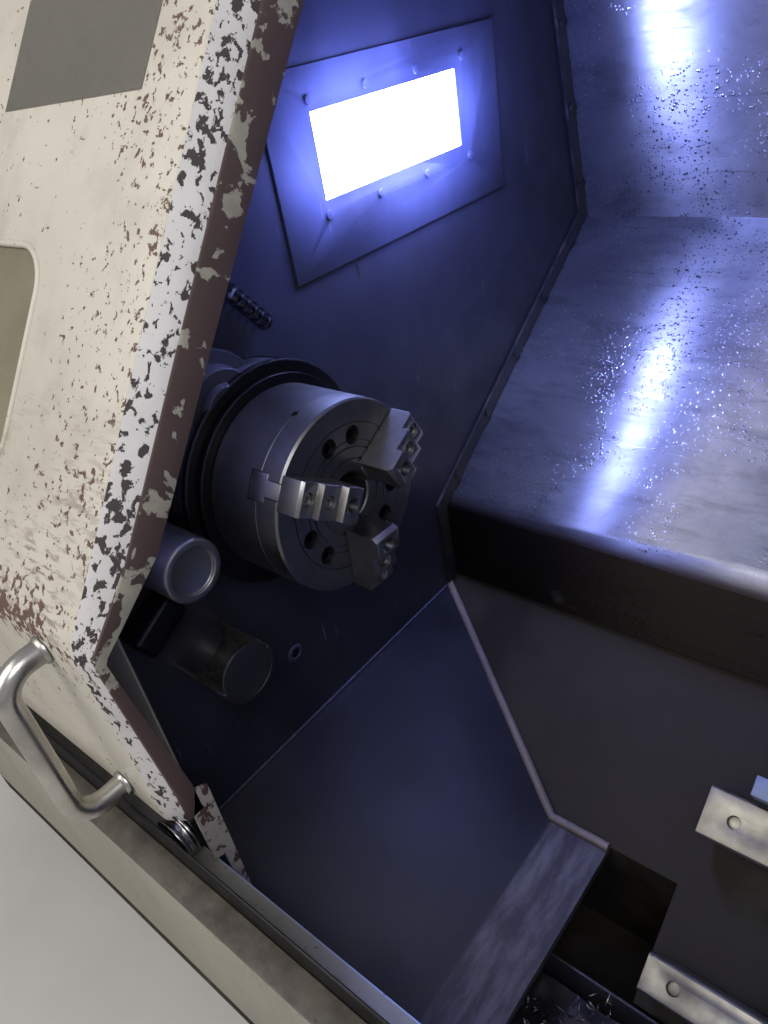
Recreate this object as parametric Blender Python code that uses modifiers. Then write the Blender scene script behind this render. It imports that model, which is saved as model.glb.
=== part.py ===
"""Slant bed CNC turning lathe: enclosure, headstock, chuck, carriage, turret and tailstock.

Units are metres, +Z up, +X from the headstock to the tailstock, +Y to the back of the machine.
The origin is on the floor, under the middle of the machine's outline.
Most pieces are placed from two empties on the spindle axis: one is level, the other leans with the bed.
"""

import math

import bmesh
import bpy
from mathutils import Vector

# Overall sizes
machine_length = 2.40
machine_depth = 1.50
machine_height = 1.62
spindle_height = 0.95
face_from_left = 1.05
axis_from_front = 0.39
slant_angle = math.radians(33.0)
gap = 0.0003
run_gap = 0.0006
sheet = 0.003
floor_gap = 0.080

# Places along the bed to the right of the chuck keep their share of the way to the tailstock end
tail_reach = 1.35
front_end_x = machine_length - face_from_left
stretch = front_end_x / tail_reach

# Chuck and spindle
chuck_radius = 0.105
chuck_length = 0.100
chuck_bore_radius = 0.027
chuck_bolt_circle = 0.0667
chuck_bolt_head = 0.009
chuck_bolt_spread = math.radians(15.3)
chuck_bolt_sink = 0.004
jaw_angles = [math.radians(a) for a in (147.35, 27.35, 267.35)]
jaw_width = 0.035
jaw_height = 0.045
jaw_inner = 0.030
jaw_stroke = 0.0037
slot_neck_width = 0.018
slot_neck_depth = 0.019
slot_tee_width = 0.030
slot_tee_depth = 0.043
adapter_radius = 0.1165
adapter_length = 0.007
nose_ring_radius = 0.130
nose_ring_length = 0.007
nose_radius = 0.126
spindle_radius = 0.060
spindle_bore_radius = 0.026
spindle_flange_radius = 0.084
bearing_radius = 0.092
bearing_length = 0.060
headstock_length = 0.520
spindle_tail = 0.150
pulley_radius = 0.100
pulley_width = 0.070
motor_pulley_radius = 0.070
belt_thickness = 0.006
wall_x = -0.150

# Slanted bed, in the leaning frame: along the slope, and below the spindle axis
bed_drop = 0.520
way_height = 0.059
cover_drop = 0.395
bed_wall = 0.030
bed_top_back = 0.760
bed_front_y = 0.100
base_front_y = -0.300
base_back_y = 0.980
base_height = 0.130
bed_left = -0.980
bed_right = 1.060 * stretch
tail_bed_left = 0.335 * stretch
carriage_way_slopes = (0.300, 0.600)
carriage_way_width = 0.060
tail_way_slopes = (-0.121, -0.321)
tail_way_widths = (0.063, 0.045)
tail_way_left = 0.342 * stretch
way_foot_width = 0.026
way_foot_height = 0.022
way_screw_pitch = 0.090
way_screw_radius = 0.0075

# Carriage, cross slide and turret
saddle_left = 0.540 * stretch
saddle_length = 0.260
neck_margin = 0.030
cover_lip = 0.137
cover_top_z = 0.645
cover_lean = math.radians(11.5)
cover_crease_slope = 0.7165
cover_lip_slope = 0.1354
cover_left = -0.237
turret_slope = 0.420
turret_radius = 0.140
turret_left = 0.355 * stretch
turret_thickness = 0.058
turret_stations = 8
tool_reach = 0.058
head_radius = 0.105
ball_screw_radius = 0.016

# Tailstock
tail_base_left = 0.485 * stretch
tail_wiper_left = 0.390 * stretch
tail_body_left = 0.520 * stretch
tail_length = 0.240
tail_barrel_radius = 0.062
quill_radius = 0.0375
quill_out = 0.040
centre_tip_x = 0.425 * stretch
centre_radius = 0.026

# Door and front
door_edge_x = -0.028
door_width = 0.940
door_knee = (-0.309, 0.012)
door_bottom = (-0.301, -0.235)
door_lean = math.radians(53.0)
door_top_z = 0.600
door_depth = 0.075
window_left = 0.640
window_right = 0.230
window_low = 0.110
window_high = 0.340
window_corner = 0.045
handle_radius = 0.0125
handle_out = 0.048
handle_x = -0.112
handle_top_z = -0.014
handle_low_z = -0.215
roller_radius = 0.027
roller_width = 0.016
roller_y = -0.291
fascia_y = -0.3425
fascia_low_z = -0.4945
fascia_high_z = -0.270
rail_y = -0.3095
rail_top_z = -0.240
track_z = -0.319
panel_inset = 0.085
panel_front_y = -0.232
opening_right = 0.720 * stretch
right_wall_x = 0.900 * stretch


def clear_scene():
    for old in list(bpy.data.objects):
        bpy.data.objects.remove(old, do_unlink=True)


def new_collection(name):
    group = bpy.data.collections.new(name)
    bpy.context.scene.collection.children.link(group)
    return group


clear_scene()
parts = new_collection("cnc_turning_lathe")
cutters = new_collection("cutters")
finishes = {}


def finish(name, colour, roughness, metallic):
    material = bpy.data.materials.new(name)
    material.use_nodes = True
    shader = material.node_tree.nodes["Principled BSDF"]
    shader.inputs["Base Color"].default_value = (*colour, 1.0)
    shader.inputs["Roughness"].default_value = roughness
    shader.inputs["Metallic"].default_value = metallic
    finishes[name] = material


finish("cream_paint", (0.62, 0.58, 0.48), 0.5, 0.0)
finish("dark_enamel", (0.10, 0.12, 0.17), 0.45, 0.3)
finish("stainless", (0.52, 0.54, 0.58), 0.3, 1.0)
finish("bare_steel", (0.42, 0.42, 0.43), 0.38, 1.0)
finish("black_oxide", (0.06, 0.06, 0.07), 0.45, 0.7)
finish("casting", (0.17, 0.20, 0.24), 0.6, 0.2)
finish("rubber", (0.03, 0.03, 0.03), 0.7, 0.0)
finish("window", (0.45, 0.44, 0.36), 0.15, 0.0)
finish("lamp_lens", (0.80, 0.88, 1.00), 0.2, 0.0)
finish("galvanised", (0.40, 0.41, 0.42), 0.5, 0.8)
finish("plastic", (0.16, 0.16, 0.17), 0.5, 0.0)
finish("red_plastic", (0.60, 0.04, 0.03), 0.4, 0.0)
finish("green_plastic", (0.05, 0.35, 0.10), 0.4, 0.0)


def new_empty(name, location, rotation=(0, 0, 0), parent=None):
    empty = bpy.data.objects.new(name, None)
    parts.objects.link(empty)
    empty.location = location
    empty.rotation_euler = rotation
    empty.parent = parent
    return empty


chuck_face_x = -machine_length / 2 + face_from_left
spindle_y = -machine_depth / 2 + axis_from_front
level = new_empty("spindle_axis_level", (chuck_face_x, spindle_y, spindle_height))
leaning = new_empty("spindle_axis_leaning", (0, 0, 0), (slant_angle, 0, 0), level)
floor_z = -spindle_height

AXIS_X = (0, math.pi / 2, 0)
AXIS_FRONT = (math.pi / 2, 0, 0)
SECTION = (math.pi / 2, 0, math.pi / 2)


def place(name, mesh, material, parent, location=(0, 0, 0), rotation=(0, 0, 0), group=None):
    part = bpy.data.objects.new(name, mesh)
    (group or parts).objects.link(part)
    part.parent = parent
    part.location = location
    part.rotation_euler = rotation
    if material:
        mesh.materials.clear()
        mesh.materials.append(finishes[material])
    else:
        part.hide_render = True
        part.display_type = "WIRE"
    return part


def mesh_of(bm, name):
    mesh = bpy.data.meshes.new(name)
    bm.normal_update()
    bm.to_mesh(mesh)
    bm.free()
    return mesh


def box_mesh(name, size, centre=(0, 0, 0)):
    bm = bmesh.new()
    bmesh.ops.create_cube(bm, size=1.0)
    for vert in bm.verts:
        vert.co = Vector(c + v * s for c, v, s in zip(centre, vert.co, size))
    return mesh_of(bm, name)


def box(name, low, high, material, parent, bevel=0.0, group=None):
    """A block between two corners in its parent's frame, with its origin at the middle."""
    size = [b - a for a, b in zip(low, high)]
    middle = [(a + b) / 2 for a, b in zip(low, high)]
    part = place(name, box_mesh(name, size), material, parent, middle, group=group)
    if bevel:
        edge = part.modifiers.new("edges", "BEVEL")
        edge.width = bevel
        edge.segments = 1
    return part


def rod_mesh(name, radius, length, sides=32, top_radius=None):
    """A solid round bar along its own Z, standing on its origin."""
    bm = bmesh.new()
    bmesh.ops.create_cone(bm, cap_ends=True, segments=sides, radius1=radius,
                          radius2=radius if top_radius is None else top_radius, depth=length)
    bmesh.ops.translate(bm, verts=bm.verts, vec=(0, 0, length / 2))
    return smooth(mesh_of(bm, name))


def smooth(mesh):
    mesh.shade_smooth()
    mesh.set_sharp_from_angle(angle=math.radians(35))
    return mesh


def rod(name, start, radius, length, material, parent, rotation=AXIS_X, sides=32, group=None):
    mesh = rod_mesh(name, radius, length, sides)
    return place(name, mesh, material, parent, start, rotation, group)


def settled(part):
    """The object's own modifiers worked into its mesh."""
    bpy.context.view_layer.update()
    graph = bpy.context.evaluated_depsgraph_get()
    mesh = bpy.data.meshes.new_from_object(part.evaluated_get(graph))
    part.modifiers.clear()
    part.data = smooth(mesh)
    return part


def curve_to_mesh(curve_object, material):
    """A curve object turned into a mesh with its caps welded."""
    bpy.context.view_layer.update()
    graph = bpy.context.evaluated_depsgraph_get()
    mesh = bpy.data.meshes.new_from_object(curve_object.evaluated_get(graph))
    bm = bmesh.new()
    bm.from_mesh(mesh)
    bmesh.ops.remove_doubles(bm, verts=bm.verts, dist=0.00001)
    bmesh.ops.recalc_face_normals(bm, faces=bm.faces)
    bm.to_mesh(mesh)
    bm.free()
    smooth(mesh)
    group = curve_object.users_collection[0]
    part = bpy.data.objects.new(curve_object.name, mesh)
    group.objects.link(part)
    part.parent = curve_object.parent
    part.matrix_parent_inverse = curve_object.matrix_parent_inverse
    part.matrix_world = curve_object.matrix_world
    if material:
        mesh.materials.clear()
        mesh.materials.append(finishes[material])
    else:
        part.hide_render = True
        part.display_type = "WIRE"
    name = curve_object.name
    bpy.data.objects.remove(curve_object, do_unlink=True)
    part.name = name
    return part


def flat(name, outline, thickness, material, parent, location, rotation, holes=(), group=None):
    """A flat outline with holes, of an even thickness, centred on its own plane."""
    curve = bpy.data.curves.new(name, "CURVE")
    curve.dimensions = "2D"
    curve.fill_mode = "BOTH"
    curve.extrude = thickness / 2
    for loop in [outline, *holes]:
        spline = curve.splines.new("POLY")
        spline.points.add(len(loop) - 1)
        for point, place_2d in zip(spline.points, loop):
            point.co = (place_2d[0], place_2d[1], 0, 1)
        spline.use_cyclic_u = True
    item = bpy.data.objects.new(name, curve)
    (group or parts).objects.link(item)
    item.parent = parent
    item.location = location
    item.rotation_euler = rotation
    return curve_to_mesh(item, material)


def section(name, outline, start_x, end_x, material, parent, holes=(), group=None):
    """A solid with one outline in Y and Z, between two places along X."""
    middle = ((start_x + end_x) / 2, 0, 0)
    return flat(name, outline, end_x - start_x, material, parent, middle, SECTION, holes, group)


def turned(name, profile, material, parent, location=(0, 0, 0), rotation=AXIS_X, steps=40, group=None):
    """A profile of radius and height, listed down its outer side, turned about its own Z."""
    mesh = bpy.data.meshes.new(name)
    points = [(radius, 0, height) for radius, height in profile]
    pairs = zip(range(len(points)), [*range(1, len(points)), 0])
    edges = [(i, j) for i, j in pairs if profile[i][0] > 0 or profile[j][0] > 0]
    mesh.from_pydata(points, edges, [])
    part = place(name, mesh, material, parent, location, rotation, group)
    screw = part.modifiers.new("turned", "SCREW")
    screw.steps = steps
    screw.render_steps = steps
    screw.use_merge_vertices = True
    screw.merge_threshold = 0.00001
    settled(part)
    return part


def boolean(part, tool, operation="DIFFERENCE"):
    change = part.modifiers.new(tool.name, "BOOLEAN")
    change.operation = operation
    change.solver = "EXACT"
    change.object = tool
    return part


def fused(part, pieces):
    """Pieces joined to one solid."""
    for piece in pieces:
        boolean(part, piece, "UNION")
    settled(part)
    for piece in pieces:
        bpy.data.objects.remove(piece, do_unlink=True)
    return part


def offset_line(points, distance):
    """A line moved sideways by a distance, to the left of its direction, with mitred corners."""
    moved = []
    for i, point in enumerate(points):
        normals = []
        for a, b in ((i - 1, i), (i, i + 1)):
            if a >= 0 and b < len(points):
                along = Vector(points[b]) - Vector(points[a])
                along.normalize()
                normals.append(Vector((-along.y, along.x)))
        total = sum(normals, Vector((0, 0)))
        scale = distance * len(normals) / total.length_squared
        moved.append(tuple(Vector(point) + total * scale))
    return moved


def folded(line, thickness):
    """The outline of a folded sheet whose one face is the line and whose other face is to its left."""
    return list(line) + offset_line(line, thickness)[::-1]


def along_slope(distance, drop):
    """Y and Z of a point up the slope and below it, from the spindle axis."""
    return (distance * math.cos(slant_angle) + drop * math.sin(slant_angle),
            distance * math.sin(slant_angle) - drop * math.cos(slant_angle))


# Bed, feet and ways
base_low_z = floor_z + floor_gap
base_high_z = base_low_z + base_height
way_drop = bed_drop - way_height
bed_front_slope = (bed_front_y - bed_drop * math.sin(slant_angle)) / math.cos(slant_angle)
tail_front_slope = tail_way_slopes[1] - tail_way_widths[1] / 2 - 0.025


def make_bed():
    front_low = along_slope(bed_front_slope, bed_drop)
    back_high = along_slope(bed_top_back, bed_drop)
    outer = [(base_front_y, base_low_z), (base_back_y, base_low_z), (base_back_y, back_high[1]),
             back_high, front_low, (bed_front_y, base_high_z), (base_front_y, base_high_z)]
    slope_wall = bed_wall / math.cos(slant_angle)
    slope = math.tan(slant_angle)
    rib_y = (bed_front_y + base_back_y) / 2

    def cavity(front, back):
        def roof(y):
            return front_low[1] + (y - bed_front_y) * slope - slope_wall
        low = base_low_z + bed_wall
        return [(front, low), (back, low), (back, min(roof(back), back_high[1] - bed_wall)), (front, roof(front))]

    holes = [cavity(bed_front_y + bed_wall, rib_y - bed_wall / 2),
             cavity(rib_y + bed_wall / 2, base_back_y - bed_wall)]
    bed = section("bed_casting", outer, bed_left, bed_right, "casting", level, holes)
    toe = along_slope(tail_front_slope, bed_drop)
    apron = [(bed_front_y + bed_wall / 2, base_low_z + bed_wall / 2), (bed_front_y + bed_wall / 2, front_low[1]),
             front_low, toe, (toe[0], base_low_z + bed_wall / 2)]
    nose = section("tail_bed", apron, tail_bed_left, right_wall_x, "casting", level)
    lug = box("screw_bearing", (wall_x + 0.040, screw_slope - 0.035, -bed_drop - 0.010),
              (wall_x + 0.070, screw_slope + 0.035, -screw_drop + 0.026), None, leaning, group=cutters)
    fused(bed, [nose, lug, *make_feet()])
    settled(boolean(bed, rod("bearing_bore", (wall_x, screw_slope, -screw_drop), ball_screw_radius + run_gap,
                             0.1, None, leaning, AXIS_X, 24, cutters)))


def make_feet():
    """Levelling feet screwed into the bed's underside."""
    foot = [(0.0, floor_gap + 0.002), (0.017, floor_gap + 0.002), (0.017, 0.062), (0.009, 0.062), (0.009, 0.030),
            (0.018, 0.030), (0.020, 0.024), (0.050, 0.016), (0.050, 0.0), (0.0, 0.0)]
    feet = []
    for x in (bed_left + 0.08, (bed_left + bed_right) / 2, bed_right - 0.08):
        for y in (base_front_y + 0.06, base_back_y - 0.08):
            feet.append(turned("foot", foot, None, level, (x, y, floor_z), (0, 0, 0), 20, cutters))
    return feet


def way(name, left, right, slope, width, material):
    """A hardened way of T section, standing on the bed."""
    foot = way_foot_width / 2
    low = -bed_drop + gap
    step = low + way_foot_height
    top = -way_drop
    outline = [(slope - foot, low), (slope + foot, low), (slope + foot, step), (slope + width / 2, step + 0.001),
               (slope + width / 2, top - 0.003), (slope + width / 2 - 0.003, top),
               (slope - width / 2 + 0.003, top), (slope - width / 2, top - 0.003),
               (slope - width / 2, step + 0.001), (slope - foot, step)]
    return section(name, outline, left, right, material, leaning)


def make_ways():
    for name, slope in zip(("front", "back"), carriage_way_slopes):
        way(f"carriage_way_{name}", wall_x + 0.02, bed_right - 0.02, slope, carriage_way_width, "bare_steel")
    count = int((right_wall_x - tail_way_left - 0.03) / way_screw_pitch)
    for name, slope, width in zip(("back", "front"), tail_way_slopes, tail_way_widths):
        rail = way(f"tailstock_way_{name}", tail_way_left, right_wall_x - gap, slope, width, "bare_steel")
        wide = way_screw_radius + gap * 2
        recess = [(0.0, 0.030), (wide, 0.030), (wide, 0.0), (way_screw_radius, 0.0), (way_screw_radius, 0.008),
                  (0.0, 0.008)]
        for i in range(count):
            x = tail_way_left + 0.036 + i * way_screw_pitch
            boolean(rail, turned("screw_recess", recess, None, leaning, (x, slope, -way_drop - 0.016), (0, 0, 0), 14,
                                 cutters))
        settled(rail)


# Headstock, its bearings and the spindle
nose_front = -chuck_length - adapter_length - nose_ring_length - gap * 2
headstock_front = wall_x - 0.007
headstock_back = headstock_front - headstock_length
headstock_back_y = 0.305


def make_headstock():
    foot_back_z = (headstock_back_y * math.sin(slant_angle) - bed_drop + gap) / math.cos(slant_angle)
    front_foot = along_slope(bed_front_slope, bed_drop - gap)
    outline = [(-0.170, base_high_z + gap), (bed_front_y - gap * 2, base_high_z + gap),
               (bed_front_y - gap * 2, front_foot[1]), (headstock_back_y, foot_back_z), (headstock_back_y, -0.150),
               (0.200, -0.050),
               (0.200, 0.120), (0.140, 0.170), (-0.060, 0.170), (-0.170, 0.010)]
    casting = section("headstock_casting", outline, headstock_back, headstock_front, "casting", level)
    nose = rod("nose", (headstock_front - 0.01, 0, 0), nose_radius, nose_front - gap - headstock_front + 0.01,
               "casting", level, AXIS_X, 48)
    fused(casting, [nose])
    length = nose_front - headstock_back
    bore = rod("spindle_bore", (headstock_back - 0.01, 0, 0), spindle_radius + 0.010, length + 0.02, None,
               level, AXIS_X, 40, cutters)
    boolean(casting, bore)
    seat_length = bearing_length + 0.012
    for start in (headstock_back - 0.01, nose_front - seat_length - 0.030):
        long = seat_length + (0.01 if start < -0.3 else 0.032)
        boolean(casting, rod("seat", (start, 0, 0), bearing_radius, long, None, level, AXIS_X, 40, cutters))
    for z in (-0.42, -0.60):
        window = box("core", (headstock_back - 0.01, -0.135, z), (headstock_front - 0.06, 0.065, z + 0.13),
                     None, level, group=cutters)
        boolean(casting, window)
    settled(casting)
    rings = []
    for x in (headstock_back + 0.002, nose_front - 0.030 - bearing_length - 0.008):
        profile = [(bearing_radius + 0.001, bearing_length), (bearing_radius + 0.001, 0.0),
                   (spindle_radius + run_gap, 0.0), (spindle_radius + run_gap, bearing_length)]
        rings.append(turned("bearing", profile, None, level, (x, 0, 0), AXIS_X, 40, cutters))
    fused(casting, rings)
    inner = spindle_radius + 0.0125
    ring = [(nose_ring_radius, nose_ring_length - 0.0015), (nose_ring_radius, 0.0), (inner, 0.0),
            (inner, nose_ring_length), (nose_ring_radius - 0.002, nose_ring_length)]
    turned("nose_ring", ring, "black_oxide", level, (nose_front - gap, 0, 0), AXIS_X, 48)


spindle_turn = new_empty("spindle_turn", (0, 0, 0), (0, 0, 0), level)


def make_spindle():
    back = headstock_back - spindle_tail
    front = -chuck_length - adapter_length - gap * 2
    flange = nose_front - 0.022
    length = front - back
    shoulder = flange - back
    outline = [(spindle_flange_radius - 0.012, length),
               (spindle_flange_radius - 0.012, length - nose_ring_length - 0.001),
               (spindle_flange_radius, length - nose_ring_length - 0.004), (spindle_flange_radius, shoulder),
               (spindle_radius, shoulder), (spindle_radius, 0.0), (spindle_bore_radius, 0.0),
               (spindle_bore_radius, length)]
    shaft = turned("spindle_shaft", outline, "bare_steel", spindle_turn, (back, 0, 0), AXIS_X, 40)
    cylinder = [(0.066, 0.122), (0.072, 0.116), (0.072, 0.020), (0.058, 0.012), (0.058, 0.0),
                (spindle_bore_radius - 0.001, 0.0), (spindle_bore_radius - 0.001, 0.122)]
    fused(shaft, [turned("chuck_cylinder", cylinder, None, spindle_turn, (back - 0.120, 0, 0), AXIS_X, 40, cutters)])
    profile = [(adapter_radius, adapter_length - 0.001), (adapter_radius, 0.0), (spindle_bore_radius + 0.004, 0.0),
               (spindle_bore_radius + 0.004, adapter_length), (adapter_radius - 0.001, adapter_length)]
    turned("chuck_adapter_ring", profile, "black_oxide", spindle_turn,
           (-chuck_length - adapter_length - gap, 0, 0), AXIS_X, 48)
    groove = 0.004
    rim = [(pulley_radius + 0.006, pulley_width), (pulley_radius + 0.006, pulley_width - 0.004),
           (pulley_radius, pulley_width - 0.004), (pulley_radius, groove), (pulley_radius + 0.006, groove),
           (pulley_radius + 0.006, 0.0), (spindle_radius + gap, 0.0), (spindle_radius + gap, pulley_width)]
    turned("spindle_pulley", rim, "casting", spindle_turn, (back + 0.010, 0, 0), AXIS_X, 40)


# Chuck and jaws
def make_chuck():
    profile = [(chuck_radius - 0.002, chuck_length), (chuck_radius, chuck_length - 0.002), (chuck_radius, 0.002),
               (chuck_radius - 0.002, 0.0), (chuck_bore_radius, 0.0), (chuck_bore_radius, chuck_length)]
    body = turned("chuck_body", profile, "bare_steel", spindle_turn, (-chuck_length, 0, 0), AXIS_X, 60)
    screws = []
    for index, angle in enumerate(jaw_angles):
        guide = new_empty(f"jaw_guide_{index + 1}", (0, 0, 0), (angle, 0, 0), spindle_turn)
        inner = jaw_inner - jaw_stroke - 0.002
        outer = chuck_radius + 0.02
        neck = box("slot_neck", (-slot_neck_depth - 0.001, inner, -slot_neck_width / 2),
                   (0.01, outer, slot_neck_width / 2), None, guide, group=cutters)
        tee = box("slot_tee", (-slot_tee_depth, inner, -slot_tee_width / 2),
                  (-slot_neck_depth, outer, slot_tee_width / 2), None, guide, group=cutters)
        boolean(body, neck)
        boolean(body, tee)
        for side in (-1, 1):
            place_angle = angle - math.radians(60) + side * chuck_bolt_spread
            y = chuck_bolt_circle * math.cos(place_angle)
            z = chuck_bolt_circle * math.sin(place_angle)
            boolean(body, rod("bolt_seat", (-0.018, y, z), chuck_bolt_head + 0.001, 0.03, None, spindle_turn,
                              AXIS_X, 16, cutters))
            head = rod("bolt_head", (-0.019, y, z), chuck_bolt_head, 0.019 - chuck_bolt_sink, None, spindle_turn,
                       AXIS_X, 16, cutters)
            socket = rod("socket", (-chuck_bolt_sink - 0.007, y, z), 0.0052, 0.02, None, spindle_turn,
                         AXIS_X, 6, cutters)
            screws.append(settled(boolean(head, socket)))
    settled(body)
    fused(body, screws)


JAW_SIDE = (math.pi, 0, math.pi / 2)


def make_jaw(number):
    guide = bpy.data.objects[f"jaw_guide_{number}"]
    outer = chuck_radius - 0.001
    neck = box(f"master_jaw_{number}", (-slot_neck_depth, jaw_inner, -slot_neck_width / 2 + run_gap),
               (0.0, outer, slot_neck_width / 2 - run_gap), "bare_steel", guide)
    tee = box("tee", (-slot_tee_depth + run_gap, jaw_inner, -slot_tee_width / 2 + run_gap),
              (-slot_neck_depth - run_gap, outer, slot_tee_width / 2 - run_gap), None, guide, group=cutters)
    web = box("web", (-slot_neck_depth - 0.004, jaw_inner, -slot_neck_width / 2 + run_gap),
              (-slot_neck_depth + 0.004, outer, slot_neck_width / 2 - run_gap), None, guide, group=cutters)
    fused(neck, [tee, web])
    low = jaw_height * 0.62
    mid = jaw_height * 0.80
    outline = [(jaw_inner + 0.002, gap), (outer, gap), (outer, low - 0.003), (outer - 0.003, low),
               (0.083, low), (0.083, mid), (0.058, mid), (0.058, jaw_height), (jaw_inner + 0.006, jaw_height),
               (jaw_inner + 0.002, jaw_height - 0.006)]
    jaw = flat(f"top_jaw_{number}", outline, jaw_width, "bare_steel", guide, (0, 0, 0), JAW_SIDE)
    screws = []
    for radius, height in ((0.093, low), (0.071, mid)):
        boolean(jaw, rod("seat", (height - 0.012, radius, 0), 0.0078, 0.04, None, guide, AXIS_X, 14, cutters))
        head = rod("head", (height - 0.013, radius, 0), 0.0070, 0.010, None, guide, AXIS_X, 14, cutters)
        boolean(head, rod("socket", (height - 0.007, radius, 0), 0.0040, 0.02, None, guide, AXIS_X, 6, cutters))
        screws.append(settled(head))
    settled(jaw)
    fused(jaw, screws)


# Headstock wall, wiper strip and work light
crease = along_slope(cover_crease_slope, cover_drop)
lip = along_slope(cover_lip_slope, cover_drop)
cover_line = [(lip[0], lip[1] - cover_lip), lip, crease,
              (crease[0] - (cover_top_z - crease[1]) * math.tan(cover_lean), cover_top_z)]
roof_low_z = machine_height - spindle_height - sheet
door_slope = math.tan(door_lean)
slant_inset = panel_inset / math.sin(door_lean)


def front_line(top_z):
    """The fixed front panels' inner face, from the sill up the slope to a height."""
    knee_y = panel_front_y + sheet
    start_y = door_knee[0] + slant_inset + sheet / math.sin(door_lean)
    knee_z = door_knee[1] + (knee_y - start_y) * door_slope
    top_y = start_y + (top_z - door_knee[1]) / door_slope
    return [(knee_y, knee_z), (top_y, top_z)]


def wall_outline(margin, low_z):
    """The outline of a cross wall, bounded by the front panels, the roof and the way cover."""
    back = offset_line(cover_line, margin)
    top_z = roof_low_z - gap
    lean = math.tan(cover_lean)
    knee, top = front_line(top_z)
    back[-1] = (back[-1][0] - (top_z - back[-1][1]) * lean, top_z)
    back[0] = (back[0][0], low_z)
    return [(knee[0] + gap, low_z), *back, (top[0] + gap, top_z), (knee[0] + gap, knee[1])]


pan_wall_z = -0.408
wiper_low_z = -0.400
light_low = (0.124, 0.171)
light_high = (0.561, 0.382)
lens_low = (0.190, 0.243)
lens_high = (0.470, 0.342)


def circle(centre_y, centre_z, radius, sides):
    return [(centre_y + radius * math.cos(2 * math.pi * i / sides),
             centre_z + radius * math.sin(2 * math.pi * i / sides)) for i in range(sides)]


def rectangle(low, high, margin=0.0):
    return [(low[0] - margin, low[1] - margin), (high[0] + margin, low[1] - margin),
            (high[0] + margin, high[1] + margin), (low[0] - margin, high[1] + margin)]


def wall_screw(x, y, z):
    return rod("screw", (x - 0.001, y, z), 0.0055, 0.0045, None, level, AXIS_X, 10, cutters)


def make_walls():
    nose_hole = circle(0, 0, nose_radius + 0.0015, 48)
    lens_hole = rectangle(lens_low, lens_high, 0.004)
    section("headstock_wall", wall_outline(0.006, pan_wall_z), wall_x - sheet, wall_x, "dark_enamel", level,
            [nose_hole, lens_hole])
    section("right_wall", wall_outline(0.006, pan_wall_z), right_wall_x, right_wall_x + sheet, "dark_enamel", level)
    strip = offset_line(cover_line, 0.0012)
    inner = offset_line(cover_line, 0.024)
    inner[0] = (inner[0][0], wiper_low_z)
    strip[0] = (strip[0][0], wiper_low_z)
    wiper = section("wiper_strip", strip + inner[::-1], wall_x + gap, wall_x + 0.0055, "rubber", level)
    plate = section("light_plate", rectangle(light_low, light_high), wall_x + gap, wall_x + sheet, "dark_enamel",
                    level, [rectangle(lens_low, lens_high, -0.004)])
    section("light_lens", rectangle(lens_low, lens_high, 0.003), wall_x - 0.012, wall_x - gap, "lamp_lens", level)
    ys = [lens_low[0] + (lens_high[0] - lens_low[0]) * k for k in (0.01, 0.35, 0.69, 1.04)]
    spots = [(y, z) for y in ys for z in (lens_low[1] - 0.012, lens_high[1] + 0.008)]
    fused(plate, [wall_screw(wall_x + sheet, y, z) for y, z in spots])
    line = offset_line(cover_line, 0.014)
    steps = 5
    spots = [(a[0] + (b[0] - a[0]) * (i + 0.5) / steps, a[1] + (b[1] - a[1]) * (i + 0.5) / steps)
             for a, b in zip(line[1:], line[2:]) for i in range(steps)]
    fused(wiper, [wall_screw(wall_x + 0.0055, y, z) for y, z in spots])


# Tool setter socket beside the chuck
hub_centre = (-0.1675, -0.005)
hub_radius = 0.034
hub_front_x = -0.060
hood_centre = (-0.149, -0.161)
hood_radius = 0.037


def make_setter():
    long = hub_front_x - wall_x - gap
    profile = [(hub_radius - 0.002, long), (hub_radius, long - 0.002), (hub_radius, 0.0), (0.0, 0.0),
               (0.0, long - 0.004), (hub_radius - 0.009, long - 0.004), (hub_radius - 0.009, long)]
    turned("setter_hub", profile, "bare_steel", level, (wall_x + gap, *hub_centre), AXIS_X, 32)
    sweep = [math.radians(-175 + 14 * i) for i in range(15)]
    arc = [(hood_centre[0] + hood_radius * math.cos(a), hood_centre[1] + hood_radius * math.sin(a)) for a in sweep]
    inner_radius = hood_radius - 0.004
    inner = [(hood_centre[0] + inner_radius * math.cos(a), hood_centre[1] + inner_radius * math.sin(a))
             for a in sweep]
    hood = section("setter_hood", arc + inner[::-1], wall_x + gap, hub_front_x, "bare_steel", level)
    cap = section("hood_end", circle(hood_centre[0], hood_centre[1], hood_radius - 0.002, 24),
                  hub_front_x - 0.006, hub_front_x - 0.001, "bare_steel", level)
    fused(hood, [cap])
    block = flat("setter_bracket", rectangle((-0.032, -0.017), (0.032, 0.017)), 0.034, "black_oxide", level,
                 (wall_x + gap + 0.017, -0.196, -0.083), (math.pi / 2, math.radians(-28), math.pi / 2))
    edge = block.modifiers.new("edges", "BEVEL")
    edge.width = 0.004
    edge.segments = 1
    settled(block)


# Way cover, carriage and turret, which travel along the bed
carriage = new_empty("carriage_slide", (0, 0, 0), (0, 0, 0), level)
carriage_leaning = new_empty("carriage_leaning", (0, 0, 0), (slant_angle, 0, 0), carriage)
cross = new_empty("cross_slide_travel", (0, 0, 0), (0, 0, 0), carriage_leaning)
turret = new_empty("turret_turn", (0, turret_slope, 0), (0, 0, 0), cross)
saddle_right = saddle_left + saddle_length
neck_low_s = 0.200
neck_high_s = 0.620
neck_top = -cover_drop + 0.012
screw_drop = 0.490
screw_slope = 0.450
cross_screw_z = neck_top - 0.025
cross_screw_radius = 0.010
neck_middle_x = saddle_left + saddle_length / 2


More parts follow.
